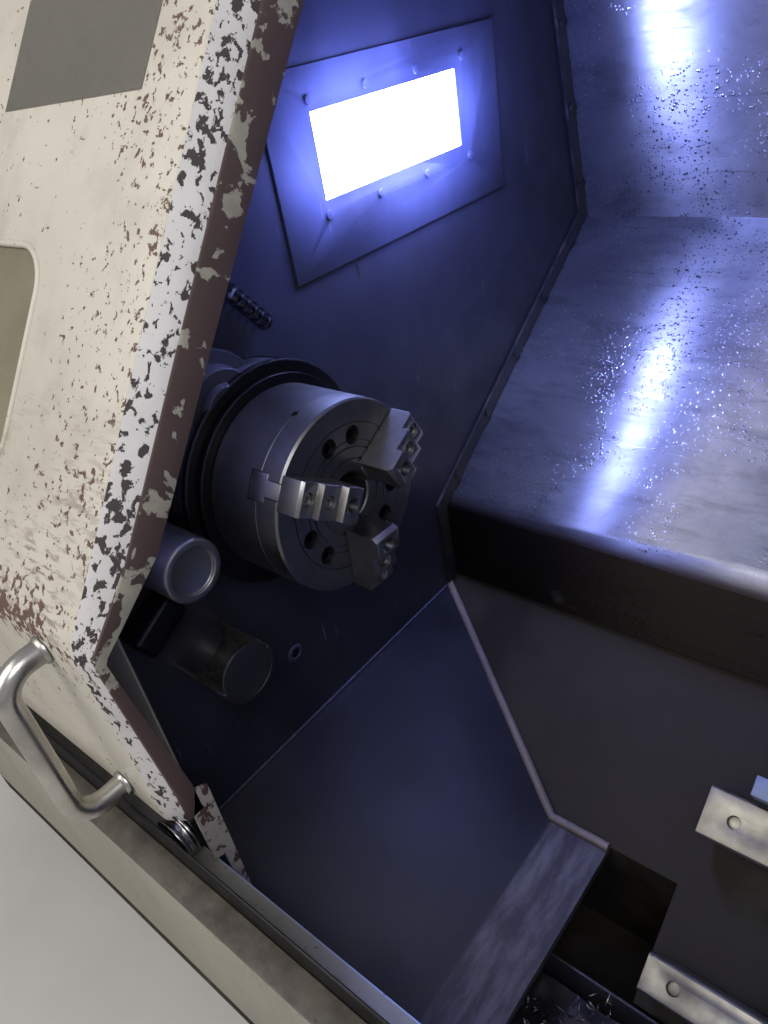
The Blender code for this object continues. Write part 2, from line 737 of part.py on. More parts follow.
def make_carriage():
    saddle = box("saddle", (saddle_left, 0.255, -way_drop + gap), (saddle_right, 0.655, -cover_drop - sheet - gap),
                 "casting", carriage_leaning)
    neck = box("neck", (saddle_left + neck_margin, neck_low_s, -cover_drop - 0.030),
               (saddle_right - neck_margin, neck_high_s, neck_top), None, carriage_leaning, group=cutters)
    lug = box("lug", (neck_middle_x - 0.03, screw_slope - 0.024, -screw_drop - 0.022),
              (neck_middle_x + 0.03, screw_slope + 0.024, -way_drop + 0.01), None, carriage_leaning, group=cutters)
    fused(saddle, [neck, lug])
    channel = box("channel", (neck_middle_x - 0.024, neck_low_s - 0.01, neck_top - 0.050),
                  (neck_middle_x + 0.024, neck_high_s - 0.02, neck_top + 0.02), None, carriage_leaning,
                  group=cutters)
    bore = rod("nut_bore", (neck_middle_x - 0.05, screw_slope, -screw_drop), ball_screw_radius + run_gap, 0.1, None,
               carriage_leaning, AXIS_X, 24, cutters)
    boolean(saddle, channel)
    boolean(saddle, bore)
    settled(saddle)
    cover = section("way_cover", folded(cover_line, -sheet), cover_left, front_end_x - 0.088, "stainless", carriage)
    margin = 0.004
    window = box("cover_window", (saddle_left + neck_margin - margin, neck_low_s - margin, -cover_drop - 0.02),
                 (saddle_right - neck_margin + margin, neck_high_s + margin, -cover_drop + 0.02), None,
                 carriage_leaning, group=cutters)
    settled(boolean(cover, window))
    back_s = neck_high_s - 0.020
    rod("cross_ball_screw", (neck_middle_x, neck_low_s + 0.002, cross_screw_z), cross_screw_radius,
        back_s - neck_low_s - 0.004, "bare_steel", carriage_leaning, (-math.pi / 2, 0, 0), 20)


def make_cross_slide():
    left = saddle_left + neck_margin
    right = saddle_right - neck_margin
    head_low = -head_radius * 0.7
    slide = box("cross_slide", (left, turret_slope - 0.120, neck_top + gap),
                (right, turret_slope + 0.130, neck_top + 0.090), "casting", cross, 0.004)
    nut = box("nut", (neck_middle_x - 0.018, turret_slope - 0.020, cross_screw_z - 0.020),
              (neck_middle_x + 0.018, turret_slope + 0.020, neck_top + 0.02), None, cross, group=cutters)
    settled(slide)
    fused(slide, [nut])
    settled(boolean(slide, rod("nut_bore", (neck_middle_x, turret_slope - 0.05, cross_screw_z),
                               cross_screw_radius + run_gap, 0.1, None, cross, (-math.pi / 2, 0, 0), 20, cutters)))
    head = rod("turret_head", (turret_left + turret_thickness + run_gap, turret_slope, 0), head_radius,
               right - turret_left - turret_thickness - run_gap, None, cross, AXIS_X, 40, cutters)
    column = box("column", (left + 0.006, turret_slope - 0.095, neck_top + 0.080),
                 (right - 0.006, turret_slope + 0.095, head_low), None, cross, group=cutters)
    fused(slide, [column, head])


def make_turret():
    disc = rod("turret_disc", (turret_left, 0, 0), turret_radius, turret_thickness, "bare_steel", turret,
               AXIS_X, turret_stations)
    flat_radius = turret_radius * math.cos(math.pi / turret_stations)
    step = 2 * math.pi / turret_stations
    pieces = []
    for i in range(turret_stations):
        guide = new_empty(f"station_{i + 1}", (0, 0, 0), (step * (i + 0.5), 0, 0), turret)
        seat = flat_radius - 0.001
        pieces.append(box("holder", (turret_left + 0.004, seat, -0.030),
                          (turret_left + turret_thickness - 0.006, seat + 0.031, 0.030), None, guide, 0.003,
                          cutters))
        pieces.append(box("shank", (turret_left + 0.010, seat + 0.030, -0.010),
                          (turret_left + 0.030, flat_radius + tool_reach, 0.010), None, guide, 0.002, cutters))
    settled(disc)
    fused(disc, pieces)


# Lead screw, motors and the belt drive
motor_slope = 0.243
motor_drop = 0.396
motor_radius = 0.110
motor_length = 0.190
tail_end_x = headstock_back - spindle_tail


def belt_outline(small, big, distance, sides=16):
    """The line round two circles, the big one at the origin and the small one along +X."""
    lean = math.acos((big - small) / distance)
    outline = []
    for i in range(sides + 1):
        angle = lean + (2 * math.pi - 2 * lean) * i / sides
        outline.append((big * math.cos(angle), big * math.sin(angle)))
    for i in range(sides + 1):
        angle = -lean + 2 * lean * i / sides
        outline.append((distance + small * math.cos(angle), small * math.sin(angle)))
    return outline


def make_drives():
    x = tail_end_x + 0.010
    motor_left = x + pulley_width + 0.012
    body = rod("spindle_motor", (motor_left, motor_slope, -motor_drop), motor_radius, motor_length, "casting",
               leaning, AXIS_X, 36)
    foot = box("motor_foot", (motor_left + 0.03, motor_slope - 0.10, -bed_drop + gap),
               (motor_left + motor_length - 0.03, motor_slope + 0.10, -motor_drop - 0.085), None, leaning,
               group=cutters)
    fused(body, [foot])
    servo = box("servo", (bed_right + 0.012, screw_slope - 0.055, -screw_drop - 0.055),
                (bed_right + 0.180, screw_slope + 0.055, -screw_drop + 0.055), "plastic", leaning, 0.006)
    flange = box("flange", (bed_right + gap, screw_slope - 0.065, -screw_drop - 0.065),
                 (bed_right + 0.014, screw_slope + 0.065, -screw_drop + 0.065), None, leaning, group=cutters)
    settled(servo)
    fused(servo, [flange])
    settled(boolean(servo, rod("shaft_bore", (bed_right - 0.05, screw_slope, -screw_drop),
                               ball_screw_radius + run_gap, 0.09, None, leaning, AXIS_X, 24, cutters)))
    servo.name = "carriage_servo_motor"
    rod("carriage_ball_screw", (wall_x + 0.045, screw_slope, -screw_drop), ball_screw_radius,
        bed_right + 0.030 - wall_x - 0.045, "bare_steel", leaning, AXIS_X, 24)
    turn = new_empty("motor_turn", (0, motor_slope, -motor_drop), (0, 0, 0), leaning)
    rim = motor_pulley_radius
    profile = [(rim + 0.006, pulley_width), (rim + 0.006, pulley_width - 0.004), (rim, pulley_width - 0.004),
               (rim, 0.004), (rim + 0.006, 0.004), (rim + 0.006, 0.0), (0.0, 0.0), (0.0, motor_left - x - run_gap),
               (0.016, motor_left - x - run_gap), (0.016, pulley_width)]
    turned("motor_pulley", profile, "casting", turn, (x, 0, 0), AXIS_X, 36)
    distance = math.hypot(motor_slope, motor_drop)
    inner = belt_outline(rim + run_gap, pulley_radius + run_gap, distance)
    outer = belt_outline(rim + belt_thickness, pulley_radius + belt_thickness, distance)
    angle = slant_angle + math.atan2(-motor_drop, motor_slope)
    belt_frame = new_empty("belt_line", (0, 0, 0), (angle, 0, 0), level)
    section("drive_belt", outer, x + 0.0045, x + pulley_width - 0.0045, "rubber", belt_frame, [inner])


# Tailstock
tail = new_empty("tailstock_slide", (0, 0, 0), (0, 0, 0), level)
tail_leaning = new_empty("tailstock_leaning", (0, 0, 0), (slant_angle, 0, 0), tail)
quill_travel = new_empty("quill_slide", (0, 0, 0), (0, 0, 0), tail)


def make_tailstock():
    right = tail_body_left + tail_length
    base = box("tailstock_body", (tail_base_left, -0.362, -way_drop + gap), (right, -0.060, -way_drop + 0.062),
               "casting", tail_leaning, 0.004)
    settled(base)
    column = box("column", (tail_body_left, -0.150, -way_drop + 0.05), (right, 0.050, -0.020), None,
                 tail_leaning, group=cutters)
    barrel = rod("barrel", (tail_body_left, 0, 0), tail_barrel_radius, tail_length, None, tail_leaning, AXIS_X,
                 36, cutters)
    wiper = box("way_wiper", (tail_wiper_left, -0.086, -way_drop + gap), (tail_base_left + 0.010, -0.062,
                                                                         -way_drop + 0.050),
                None, tail_leaning, group=cutters)
    fused(base, [column, barrel, wiper])
    settled(boolean(base, rod("quill_bore", (tail_body_left - 0.01, 0, 0), quill_radius + run_gap,
                              tail_length + 0.02, None, tail_leaning, AXIS_X, 36, cutters)))
    front = tail_body_left - quill_out
    long = tail_length + quill_out - 0.01
    nose = centre_radius * 0.42
    profile = [(quill_radius, long), (quill_radius, 0.003), (quill_radius - 0.003, 0.0), (nose + run_gap, 0.0),
               (nose + run_gap, 0.070), (0.0, 0.070), (0.0, long)]
    turned("quill", profile, "bare_steel", quill_travel, (front, 0, 0), AXIS_X, 36)
    spin = new_empty("centre_turn", (0, 0, 0), (0, 0, 0), quill_travel)
    length = front - centre_tip_x
    shank = [(nose, length + 0.060), (nose, length - run_gap), (centre_radius, length - run_gap),
             (centre_radius, length - 0.024), (centre_radius * 0.75, length - 0.030), (0.0, 0.0),
             (0.0, length + 0.060)]
    turned("live_centre", shank, "bare_steel", spin, (centre_tip_x, 0, 0), AXIS_X, 32)


# Chip pan and coolant tank
pan_front_y = -0.249
pan_fold_x = 0.160 * stretch
pan_floor_z = -0.550
pan_right_x = 0.245 * stretch
tank_back_y = -0.045
tank_top_z = -0.600
tank_right_x = 0.710 * stretch


def make_pan():
    drop = bed_drop - sheet * 2

    def bed_y(z):
        return (drop + z * math.cos(slant_angle)) / math.sin(slant_angle)
    rows = [(wall_x + gap, pan_wall_z), (pan_fold_x, pan_floor_z), (pan_right_x, pan_floor_z),
            (pan_right_x, pan_floor_z - 0.015)]
    bm = bmesh.new()
    pairs = [(bm.verts.new((x, pan_front_y, z)), bm.verts.new((x, bed_y(max(z, pan_floor_z)), z))) for x, z in rows]
    for (a, b), (c, d) in zip(pairs, pairs[1:]):
        bm.faces.new((a, c, d, b))
    pan = place("chip_pan", mesh_of(bm, "chip_pan"), "galvanised", level)
    shell = pan.modifiers.new("sheet", "SOLIDIFY")
    shell.thickness = sheet
    shell.offset = -1.0
    tank = box("coolant_tank", (wall_x + 0.010, base_front_y + 0.015, base_high_z + gap),
               (tank_right_x, tank_back_y, tank_top_z), "dark_enamel", level)
    hollow = box("tank_hollow", (wall_x + 0.010 + sheet, base_front_y + 0.015 + sheet, base_high_z + sheet),
                 (tank_right_x - sheet, tank_back_y - sheet, tank_top_z + 0.05), None, level, group=cutters)
    settled(boolean(tank, hollow))


# Front sill with the door's track
left_end_x = -face_from_left
channel_back_y = -0.276
front_sheet_right = front_end_x - sheet - gap
front_sheet_left = left_end_x + sheet + gap


def make_sill():
    floor = track_z
    line = [(fascia_y + 0.025, fascia_low_z), (fascia_y, fascia_low_z), (fascia_y, fascia_high_z),
            (rail_y - 0.0045, fascia_high_z), (rail_y - 0.0045, floor), (channel_back_y, floor),
            (channel_back_y + 0.004, -0.470), (channel_back_y + 0.004, -0.575), (panel_front_y - 0.004, -0.578)]
    section("front_sill", folded(line, -sheet), front_sheet_left, front_sheet_right, "cream_paint", level)
    left = rail_y - 0.0045 + gap
    rail = [(left, floor + gap), (rail_y + 0.001, floor + gap), (rail_y + 0.001, rail_top_z - 0.006),
            (rail_y - 0.001, rail_top_z), (left, rail_top_z - 0.003)]
    section("door_rail", rail, front_sheet_left, front_sheet_right, "rubber", level)


# Enclosure panels
roof_slope_low_z = 0.530
back_skin_y = base_back_y + gap
machine_back_y = machine_depth - axis_from_front
cabinet_front_y = 0.925
latch_depth = 0.015
cabinet_back_y = machine_back_y - latch_depth - 0.006
cabinet_low_z = along_slope(bed_top_back, bed_drop)[1] + gap
cabinet_high_z = roof_low_z - 0.002
cabinet_door_left = -0.350
cabinet_door_right = 0.550


def make_panels():
    low_z = base_high_z + 0.002
    knee, top = front_line(roof_slope_low_z - gap)
    line = [(knee[0], low_z), knee, top]
    left = section("left_front_panel", folded(line, sheet), left_end_x + sheet / 2, wall_x - sheet - gap,
                   "cream_paint", level)
    right = section("right_front_panel", folded(line, sheet), opening_right, front_end_x - sheet / 2,
                    "cream_paint", level)
    high = front_line(machine_height - spindle_height - sheet)[1]
    slope_low = front_line(roof_slope_low_z)[1]
    roof_line = [slope_low, high, (machine_back_y - 0.020, high[1])]
    roof = section("roof_panel", folded(roof_line, sheet), front_sheet_left, front_sheet_right, "cream_paint", level)
    face = offset_line([(knee[0], fascia_high_z), knee, front_line(machine_height - spindle_height - sheet)[1]],
                       sheet / 2)
    roof_z = machine_height - spindle_height
    outline = [(base_front_y, base_low_z), (machine_back_y - 0.020, base_low_z), (machine_back_y - 0.020, roof_z),
               (face[2][0], roof_z), face[1], (face[1][0], -0.235), (rail_y, -0.235), (fascia_y, fascia_high_z),
               (fascia_y, fascia_low_z), (base_front_y, fascia_low_z)]
    fused(left, [section("left_end", outline, left_end_x, left_end_x + sheet, None, level, group=cutters)])
    fused(right, [section("right_end", outline, front_end_x - sheet, front_end_x, None, level, group=cutters)])
    rail_frame = new_empty("top_rail_line", (0, *slope_low), (door_lean, 0, 0), level)
    rail = box("top_rail", (front_sheet_left + 0.02, 0.030, sheet / 2), (opening_right + 0.20, 0.062, sheet + 0.0035),
               None, rail_frame, group=cutters)
    fused(roof, [rail])


# Sliding door
door = new_empty("door_slide", (0, 0, 0), (0, 0, 0), level)
door_skin = new_empty("door_skin_line", (0, *door_knee), (door_lean, 0, 0), door)
door_left_x = door_edge_x - door_width


def door_line():
    """The door's outer face, from its lower edge up the slope and in along the top flange."""
    top = (door_knee[0] + (door_top_z - door_knee[1]) / door_slope, door_top_z)
    return [door_bottom, door_knee, top,
            (top[0] + door_depth * math.sin(door_lean), top[1] - door_depth * math.cos(door_lean))]


def door_end(x, name):
    outer = offset_line(door_line(), -sheet / 2)
    outline = [*outer, (-0.210, 0.058), (-0.292, -0.005), (-0.269, -0.204), (-0.255, -0.212), (-0.257, -0.451),
               (-0.264, -0.430), (-0.2685, -0.362), (-0.268, door_bottom[1] + sheet / 2)]
    return section(name, outline, x, x + sheet, None, door, group=cutters)


def rounded(low, high, radius, sides=4):
    corners = [(high[0] - radius, high[1] - radius, 0), (low[0] + radius, high[1] - radius, 90),
               (low[0] + radius, low[1] + radius, 180), (high[0] - radius, low[1] + radius, 270)]
    return [(x + radius * math.cos(math.radians(start + 90 * i / sides)),
             y + radius * math.sin(math.radians(start + 90 * i / sides)))
            for x, y, start in corners for i in range(sides + 1)]


def make_door():
    step = 0.0005
    shell = section("door_shell", folded(door_line(), -sheet), door_left_x + step, door_edge_x - step,
                    "cream_paint", door)
    fused(shell, [door_end(door_edge_x - sheet, "leading_end"), door_end(door_left_x, "trailing_end")])
    hole = rounded((-window_left, window_low), (-window_right, window_high), window_corner)
    cutter = flat("window_cut", hole, 0.04, None, door_skin, (0, 0, 0), (0, 0, 0), group=cutters)
    settled(boolean(shell, cutter))
    margin = 0.014
    pane = rounded((-window_left - margin, window_low - margin), (-window_right + margin, window_high + margin),
                   window_corner)
    flat("door_window", pane, 0.006, "window", door_skin, (0, 0, -sheet - gap - 0.003), (0, 0, 0))
    front = door_knee[0]
    out = front - handle_out
    bend = 0.026
    points = [(front + 0.0085, handle_low_z)]
    for centre, start in (((out + bend, handle_low_z + bend), -90), ((out + bend, handle_top_z - bend), 180)):
        for i in range(6):
            angle = math.radians(start - 18 * i)
            points.append((centre[0] + bend * math.cos(angle), centre[1] + bend * math.sin(angle)))
    points.append((front - gap, handle_top_z))
    points[0] = (door_bottom[0] + (door_knee[0] - door_bottom[0]) * (handle_low_z - door_bottom[1])
                 / (door_knee[1] - door_bottom[1]) - gap * 3, handle_low_z)
    curve = bpy.data.curves.new("door_handle", "CURVE")
    curve.dimensions = "3D"
    curve.bevel_depth = handle_radius
    curve.bevel_resolution = 3
    curve.use_fill_caps = True
    spline = curve.splines.new("POLY")
    spline.points.add(len(points) - 1)
    for point, (y, z) in zip(spline.points, points):
        point.co = (handle_x, y, z, 1)
    item = bpy.data.objects.new("door_handle", curve)
    parts.objects.link(item)
    item.parent = door
    curve_to_mesh(item, "bare_steel")
    brackets = []
    roller_z = track_z + gap + roller_radius
    for name, x in (("left", door_left_x + 0.050), ("right", door_edge_x - 0.042)):
        block = box("bracket", (x - 0.022, roller_y + roller_width / 2 + 0.0015, roller_z - 0.015),
                    (x + 0.022, -0.2690, roller_z + 0.030), None, door, group=cutters)
        toward_end = door_edge_x - sheet / 2 if name == "right" else door_left_x + sheet / 2
        arm = box("arm", (min(x, toward_end), -0.2755, roller_z + 0.022),
                  (max(x, toward_end), -0.2620, roller_z + 0.052), None, door, group=cutters)
        pin = rod("pin", (x, -0.275, roller_z), 0.0050, 0.026, None, door, AXIS_FRONT, 16, cutters)
        brackets += [block, arm, pin]
        turn = new_empty(f"roller_turn_{name}", (x, roller_y, roller_z), (0, 0, 0), door)
        half = roller_width / 2
        profile = [(roller_radius, half), (roller_radius, half - 0.003), (roller_radius - 0.002, half - 0.005),
                   (roller_radius - 0.002, 0.005 - half), (roller_radius, 0.003 - half), (roller_radius, -half),
                   (0.0055, -half), (0.0055, half)]
        turned(f"door_roller_{name}", profile, "bare_steel", turn, (0, 0, 0), AXIS_FRONT, 28)
    fused(shell, brackets)


# Operator's console
console_width = 0.440
console_right = 1.240 * stretch
console_left = console_right - console_width
console_low_z = -0.120
console_high_z = 0.420
button_stand = 0.040
console_y = -axis_from_front + button_stand
face_depth = 0.004


def stud(name, x, z, cap, material):
    """A turned control that stands on the console's face, with its stem in a hole."""
    pivot = new_empty(f"{name}_axis", (x, console_y, z), (0, 0, 0), level)
    return turned(name, cap, material, pivot, (0, 0, 0), AXIS_FRONT, 28)


controls = {
    "emergency_stop": (console_right - 0.075, -0.045),
    "cycle_start": (console_right - 0.220, -0.060),
    "feed_hold": (console_right - 0.160, -0.060),
    "hand_wheel": (console_left + 0.065, -0.045),
}


def make_console():
    knee, top = front_line(console_high_z)
    outside = offset_line([(knee[0], console_low_z), knee, top], sheet + gap)
    body = [(console_y, console_low_z), outside[0], outside[1], outside[2], (console_y, outside[2][1])]
    housing = section("console_housing", body, console_left, console_right, "plastic", level)
    for name, (x, z) in controls.items():
        stem_hole = rod("stem_hole", (x, console_y + 0.030, z), 0.0080, 0.06, None, level, AXIS_FRONT, 18, cutters)
        boolean(housing, stem_hole)
    settled(housing)
    margin = 0.020
    frame_low = (console_left + margin, 0.020)
    frame_high = (console_right - margin, console_high_z - margin)
    face = flat("console_face", rounded(frame_low, frame_high, 0.012), face_depth, None, level,
                (0, console_y - face_depth / 4, 0), AXIS_FRONT, group=cutters)
    fused(housing, [face])
    stem = 0.0072
    deep = 0.020
    head = button_stand
    mushroom = [(0.012, head), (0.020, head - 0.004), (0.020, head - 0.014), (0.0145, head - 0.020),
                (0.0145, 0.007), (stem, 0.007), (stem, -deep), (0.0, -deep), (0.0, head)]
    stud("emergency_stop", *controls["emergency_stop"], mushroom, "red_plastic")
    for name, material in (("cycle_start", "green_plastic"), ("feed_hold", "red_plastic")):
        button = [(0.0115, 0.012), (0.0125, 0.011), (0.0125, 0.005), (stem, 0.005), (stem, -deep), (0.0, -deep),
                  (0.0, 0.012)]
        stud(name, *controls[name], button, material)
    wheel = [(0.036, 0.018), (0.040, 0.016), (0.040, 0.004), (0.036, 0.002), (stem, 0.002), (stem, -deep),
             (0.0, -deep), (0.0, 0.010), (0.030, 0.010), (0.032, 0.018)]
    dial = stud("hand_wheel", *controls["hand_wheel"], wheel, "plastic")
    crank = rod("crank", (0.022, -0.009, 0), 0.006, 0.022, None, dial.parent, AXIS_FRONT, 14, cutters)
    fused(dial, [crank])


# Electrical cabinet at the back, with the back panel below it
hinge_x = cabinet_door_left + 0.004
hinge_y = cabinet_back_y + 0.004


def make_cabinet():
    cabinet = box("electrical_cabinet", (front_sheet_left, cabinet_front_y, cabinet_low_z),
                  (front_sheet_right, cabinet_back_y - gap, cabinet_high_z), "cream_paint", level)
    inside = box("cabinet_inside", (front_sheet_left + sheet, cabinet_front_y + sheet, cabinet_low_z + sheet),
                 (front_sheet_right - sheet, cabinet_back_y - sheet, cabinet_high_z - sheet), None, level,
                 group=cutters)
    border = 0.030
    doorway = box("cabinet_doorway", (cabinet_door_left + border, cabinet_back_y - 0.05, cabinet_low_z + border),
                  (cabinet_door_right - border, cabinet_back_y + 0.05, cabinet_high_z - border), None, level,
                  group=cutters)
    boolean(cabinet, inside)
    settled(boolean(cabinet, doorway))
    skirt = section("back_panel", rectangle((back_skin_y, base_low_z), (back_skin_y + sheet, cabinet_low_z
                                                                        + sheet / 2)),
                    front_sheet_left, front_sheet_right, None, level, group=cutters)
    fused(cabinet, [skirt])
    swing = new_empty("cabinet_door_hinge", (hinge_x, hinge_y, 0), (0, 0, 0), level)
    low = cabinet_low_z + 0.004
    high = cabinet_high_z - 0.004
    face = cabinet_back_y - hinge_y
    outside = machine_back_y - latch_depth - hinge_y
    leaf = box("cabinet_door", (0.010, face, low), (cabinet_door_right - hinge_x, outside, high), "cream_paint",
               swing)
    latch_x = cabinet_door_right - hinge_x - 0.060
    latch = box("latch", (latch_x - 0.014, face + 0.002, 0.22), (latch_x + 0.014, machine_back_y - hinge_y, 0.34),
                None, swing, group=cutters)
    heights = (low + 0.04, high - 0.10)
    knuckles = [rod("knuckle", (0, 0, z), 0.0038, 0.06, None, swing, (0, 0, 0), 14, cutters) for z in heights]
    links = [box("link", (0, -0.0028, z + 0.005), (0.014, 0.0005, z + 0.055), None, swing, group=cutters)
             for z in heights]
    fused(leaf, [latch, *knuckles, *links])


make_bed()
make_ways()
make_headstock()
make_spindle()
make_chuck()
for jaw_number in (1, 2, 3):
    make_jaw(jaw_number)
make_walls()
make_setter()
make_pan()
make_sill()
make_panels()
make_door()
make_carriage()
make_cross_slide()
make_turret()
make_drives()
make_tailstock()
make_console()
make_cabinet()
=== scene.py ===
import math
import random

import bmesh
import bpy
from mathutils import Matrix, Vector, noise


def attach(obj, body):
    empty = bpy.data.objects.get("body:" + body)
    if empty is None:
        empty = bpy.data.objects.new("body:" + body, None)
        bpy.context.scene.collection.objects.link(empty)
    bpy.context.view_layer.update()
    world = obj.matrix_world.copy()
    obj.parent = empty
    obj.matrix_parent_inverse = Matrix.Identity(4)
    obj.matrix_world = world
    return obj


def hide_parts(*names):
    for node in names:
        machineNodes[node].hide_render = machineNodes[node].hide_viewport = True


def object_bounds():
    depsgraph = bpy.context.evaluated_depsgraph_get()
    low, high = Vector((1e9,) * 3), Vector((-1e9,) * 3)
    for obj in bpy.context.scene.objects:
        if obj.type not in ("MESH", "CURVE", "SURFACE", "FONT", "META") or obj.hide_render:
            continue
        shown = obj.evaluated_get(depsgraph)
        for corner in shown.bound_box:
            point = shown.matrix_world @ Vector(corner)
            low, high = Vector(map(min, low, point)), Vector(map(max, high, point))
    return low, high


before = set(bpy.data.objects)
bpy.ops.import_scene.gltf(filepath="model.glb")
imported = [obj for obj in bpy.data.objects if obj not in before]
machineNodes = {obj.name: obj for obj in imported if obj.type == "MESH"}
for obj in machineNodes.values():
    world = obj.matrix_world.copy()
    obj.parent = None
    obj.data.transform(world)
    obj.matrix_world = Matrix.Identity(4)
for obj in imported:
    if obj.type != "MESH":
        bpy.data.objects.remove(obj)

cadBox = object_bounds()
scene = bpy.context.scene
print("stage: frame loaded,", len(machineNodes), "nodes")

# places are measured from the middle of the chuck's face
lathe = {
    "chuckFace": Vector((-0.15, -0.36, 0.95)),
    "chuckRadius": 0.105,
    "chuckLength": 0.100,
    "jawAngles": (147.35, 27.35, 267.35),
}


def machinePoint(x, y, z):
    return lathe["chuckFace"] + Vector((x, y, z))


# ---- small helpers for node materials
def startFinish(name):
    finish = bpy.data.materials.new(name)
    finish.use_nodes = True
    tree = finish.node_tree
    return finish, tree, tree.nodes["Principled BSDF"]


def addNode(tree, kind, values=(), links=()):
    node = tree.nodes.new("ShaderNode" + kind)
    for key, value in dict(values).items():
        if isinstance(key, str) and hasattr(node, key):
            setattr(node, key, value)
        else:
            node.inputs[key].default_value = value
    for key, source in dict(links).items():
        tree.links.new(source, node.inputs[key])
    return node


def feed(tree, node, sockets):
    # a number or colour is set on its socket, anything else is linked to it
    for key, value in sockets.items():
        if isinstance(value, (int, float)):
            node.inputs[key].default_value = value
        elif isinstance(value, tuple):
            node.inputs[key].default_value = (*value, 1)
        else:
            tree.links.new(value, node.inputs[key])


def surfacePoint(tree, stretch=(1, 1, 1), turn=(0, 0, 0)):
    place = addNode(tree, "TexCoord").outputs["Object"]
    mapping = addNode(tree, "Mapping", {"Scale": stretch, "Rotation": turn}, {"Vector": place})
    return mapping.outputs["Vector"]


def axisParts(tree):
    place = addNode(tree, "TexCoord").outputs["Object"]
    return addNode(tree, "SeparateXYZ", links={"Vector": place}).outputs


def mottle(tree, point, scale, detail=6, rough=0.6, warp=0.0):
    values = {"Scale": scale, "Detail": detail, "Roughness": rough, "Distortion": warp}
    return addNode(tree, "TexNoise", values, {"Vector": point}).outputs["Fac"]


def stepBetween(tree, value, low, high, outLow=0.0, outHigh=1.0):
    node = addNode(tree, "MapRange", {"From Min": low, "From Max": high, "To Min": outLow, "To Max": outHigh},
                   {"Value": value})
    return node.outputs["Result"]


def combine(tree, operation, a, b):
    node = addNode(tree, "Math", {"operation": operation})
    feed(tree, node, {0: a, 1: b})
    return node.outputs[0]


def times(tree, a, b):
    return combine(tree, "MULTIPLY", a, b)


def plus(tree, a, b):
    return combine(tree, "ADD", a, b)


def blendColour(tree, amount, a, b):
    node = addNode(tree, "MixRGB")
    feed(tree, node, {0: amount, 1: a, 2: b})
    return node.outputs[0]


def darker(colour, share):
    return tuple(c * share for c in colour)


def addRelief(tree, shader, height, strength, distance):
    bump = addNode(tree, "Bump", {"Strength": strength, "Distance": distance}, {"Height": height})
    tree.links.new(bump.outputs["Normal"], shader.inputs["Normal"])


def addChipRelief(tree, shader, point, bare, grain=300, strength=0.35):
    # sound paint stands proud of the chips
    height = plus(tree, times(tree, bare, -1.0), mottle(tree, point, grain, 2))
    addRelief(tree, shader, height, strength, 0.0006)


# ---- paints
creamPaint = {"paint": (0.60, 0.56, 0.48), "shade": (0.50, 0.46, 0.38), "primer": (0.16, 0.085, 0.055),
              "chipSize": 120, "chips": 0.645, "roughness": 0.42}
panelWear = {"chips": 0.72, "scuffs": 0.74}
# heights and places where the door is worn, along the machine's own axes
doorWear = {"bend": 0.962, "bendReach": 0.055, "edge": -0.178, "edgeReach": 0.16, "extraChips": 0.20,
            "scuffLow": 0.965, "scuffHigh": 1.14, "primer": (0.125, 0.070, 0.052)}
panLook = {"ledgeStart": 0.010, "ledgeTop": 0.415, "sheet": (0.013, 0.013, 0.018),
           "worn": (0.006, 0.006, 0.008), "ledge": (0.070, 0.064, 0.068), "scratch": (0.07, 0.07, 0.085)}
sillLook = {"paint": (0.30, 0.28, 0.225), "shade": (0.235, 0.22, 0.175), "top": 0.680, "inside": -0.638,
            "paintedLampLight": (0.34, 0.40, 0.58), "oil": (0.055, 0.045, 0.038)}


def makeWornPaint(name, look):
    finish, tree, shader = startFinish(name)
    point = surfacePoint(tree)
    patches = stepBetween(tree, mottle(tree, point, 3.5, 4), 0.35, 0.7)
    colour = blendColour(tree, patches, look["paint"], look["shade"])
    cluster = mottle(tree, point, 5.0, 3)
    fine = mottle(tree, point, look["chipSize"], 5, 0.65, 0.3)
    chips = stepBetween(tree, plus(tree, times(tree, cluster, 0.35), fine), look["chips"] + 0.175,
                        look["chips"] + 0.20)
    streaks = mottle(tree, surfacePoint(tree, (9, 30, 70), (0.5, 0.2, 0.4)), 1.6, 7, 0.7)
    scuffs = stepBetween(tree, plus(tree, streaks, times(tree, cluster, 0.3)), look["scuffs"] + 0.15,
                         look["scuffs"] + 0.24)
    worn = combine(tree, "MAXIMUM", chips, times(tree, scuffs, 0.75))
    colour = blendColour(tree, worn, colour, look["primer"])
    oily = stepBetween(tree, mottle(tree, point, 9, 5), 0.45, 0.75, 0.0, 0.25)
    colour = blendColour(tree, oily, colour, (0.10, 0.085, 0.07))
    rough = stepBetween(tree, worn, 0, 1, look["roughness"], 0.75)
    feed(tree, shader, {"Base Color": colour, "Roughness": rough})
    addChipRelief(tree, shader, point, worn)
    return finish


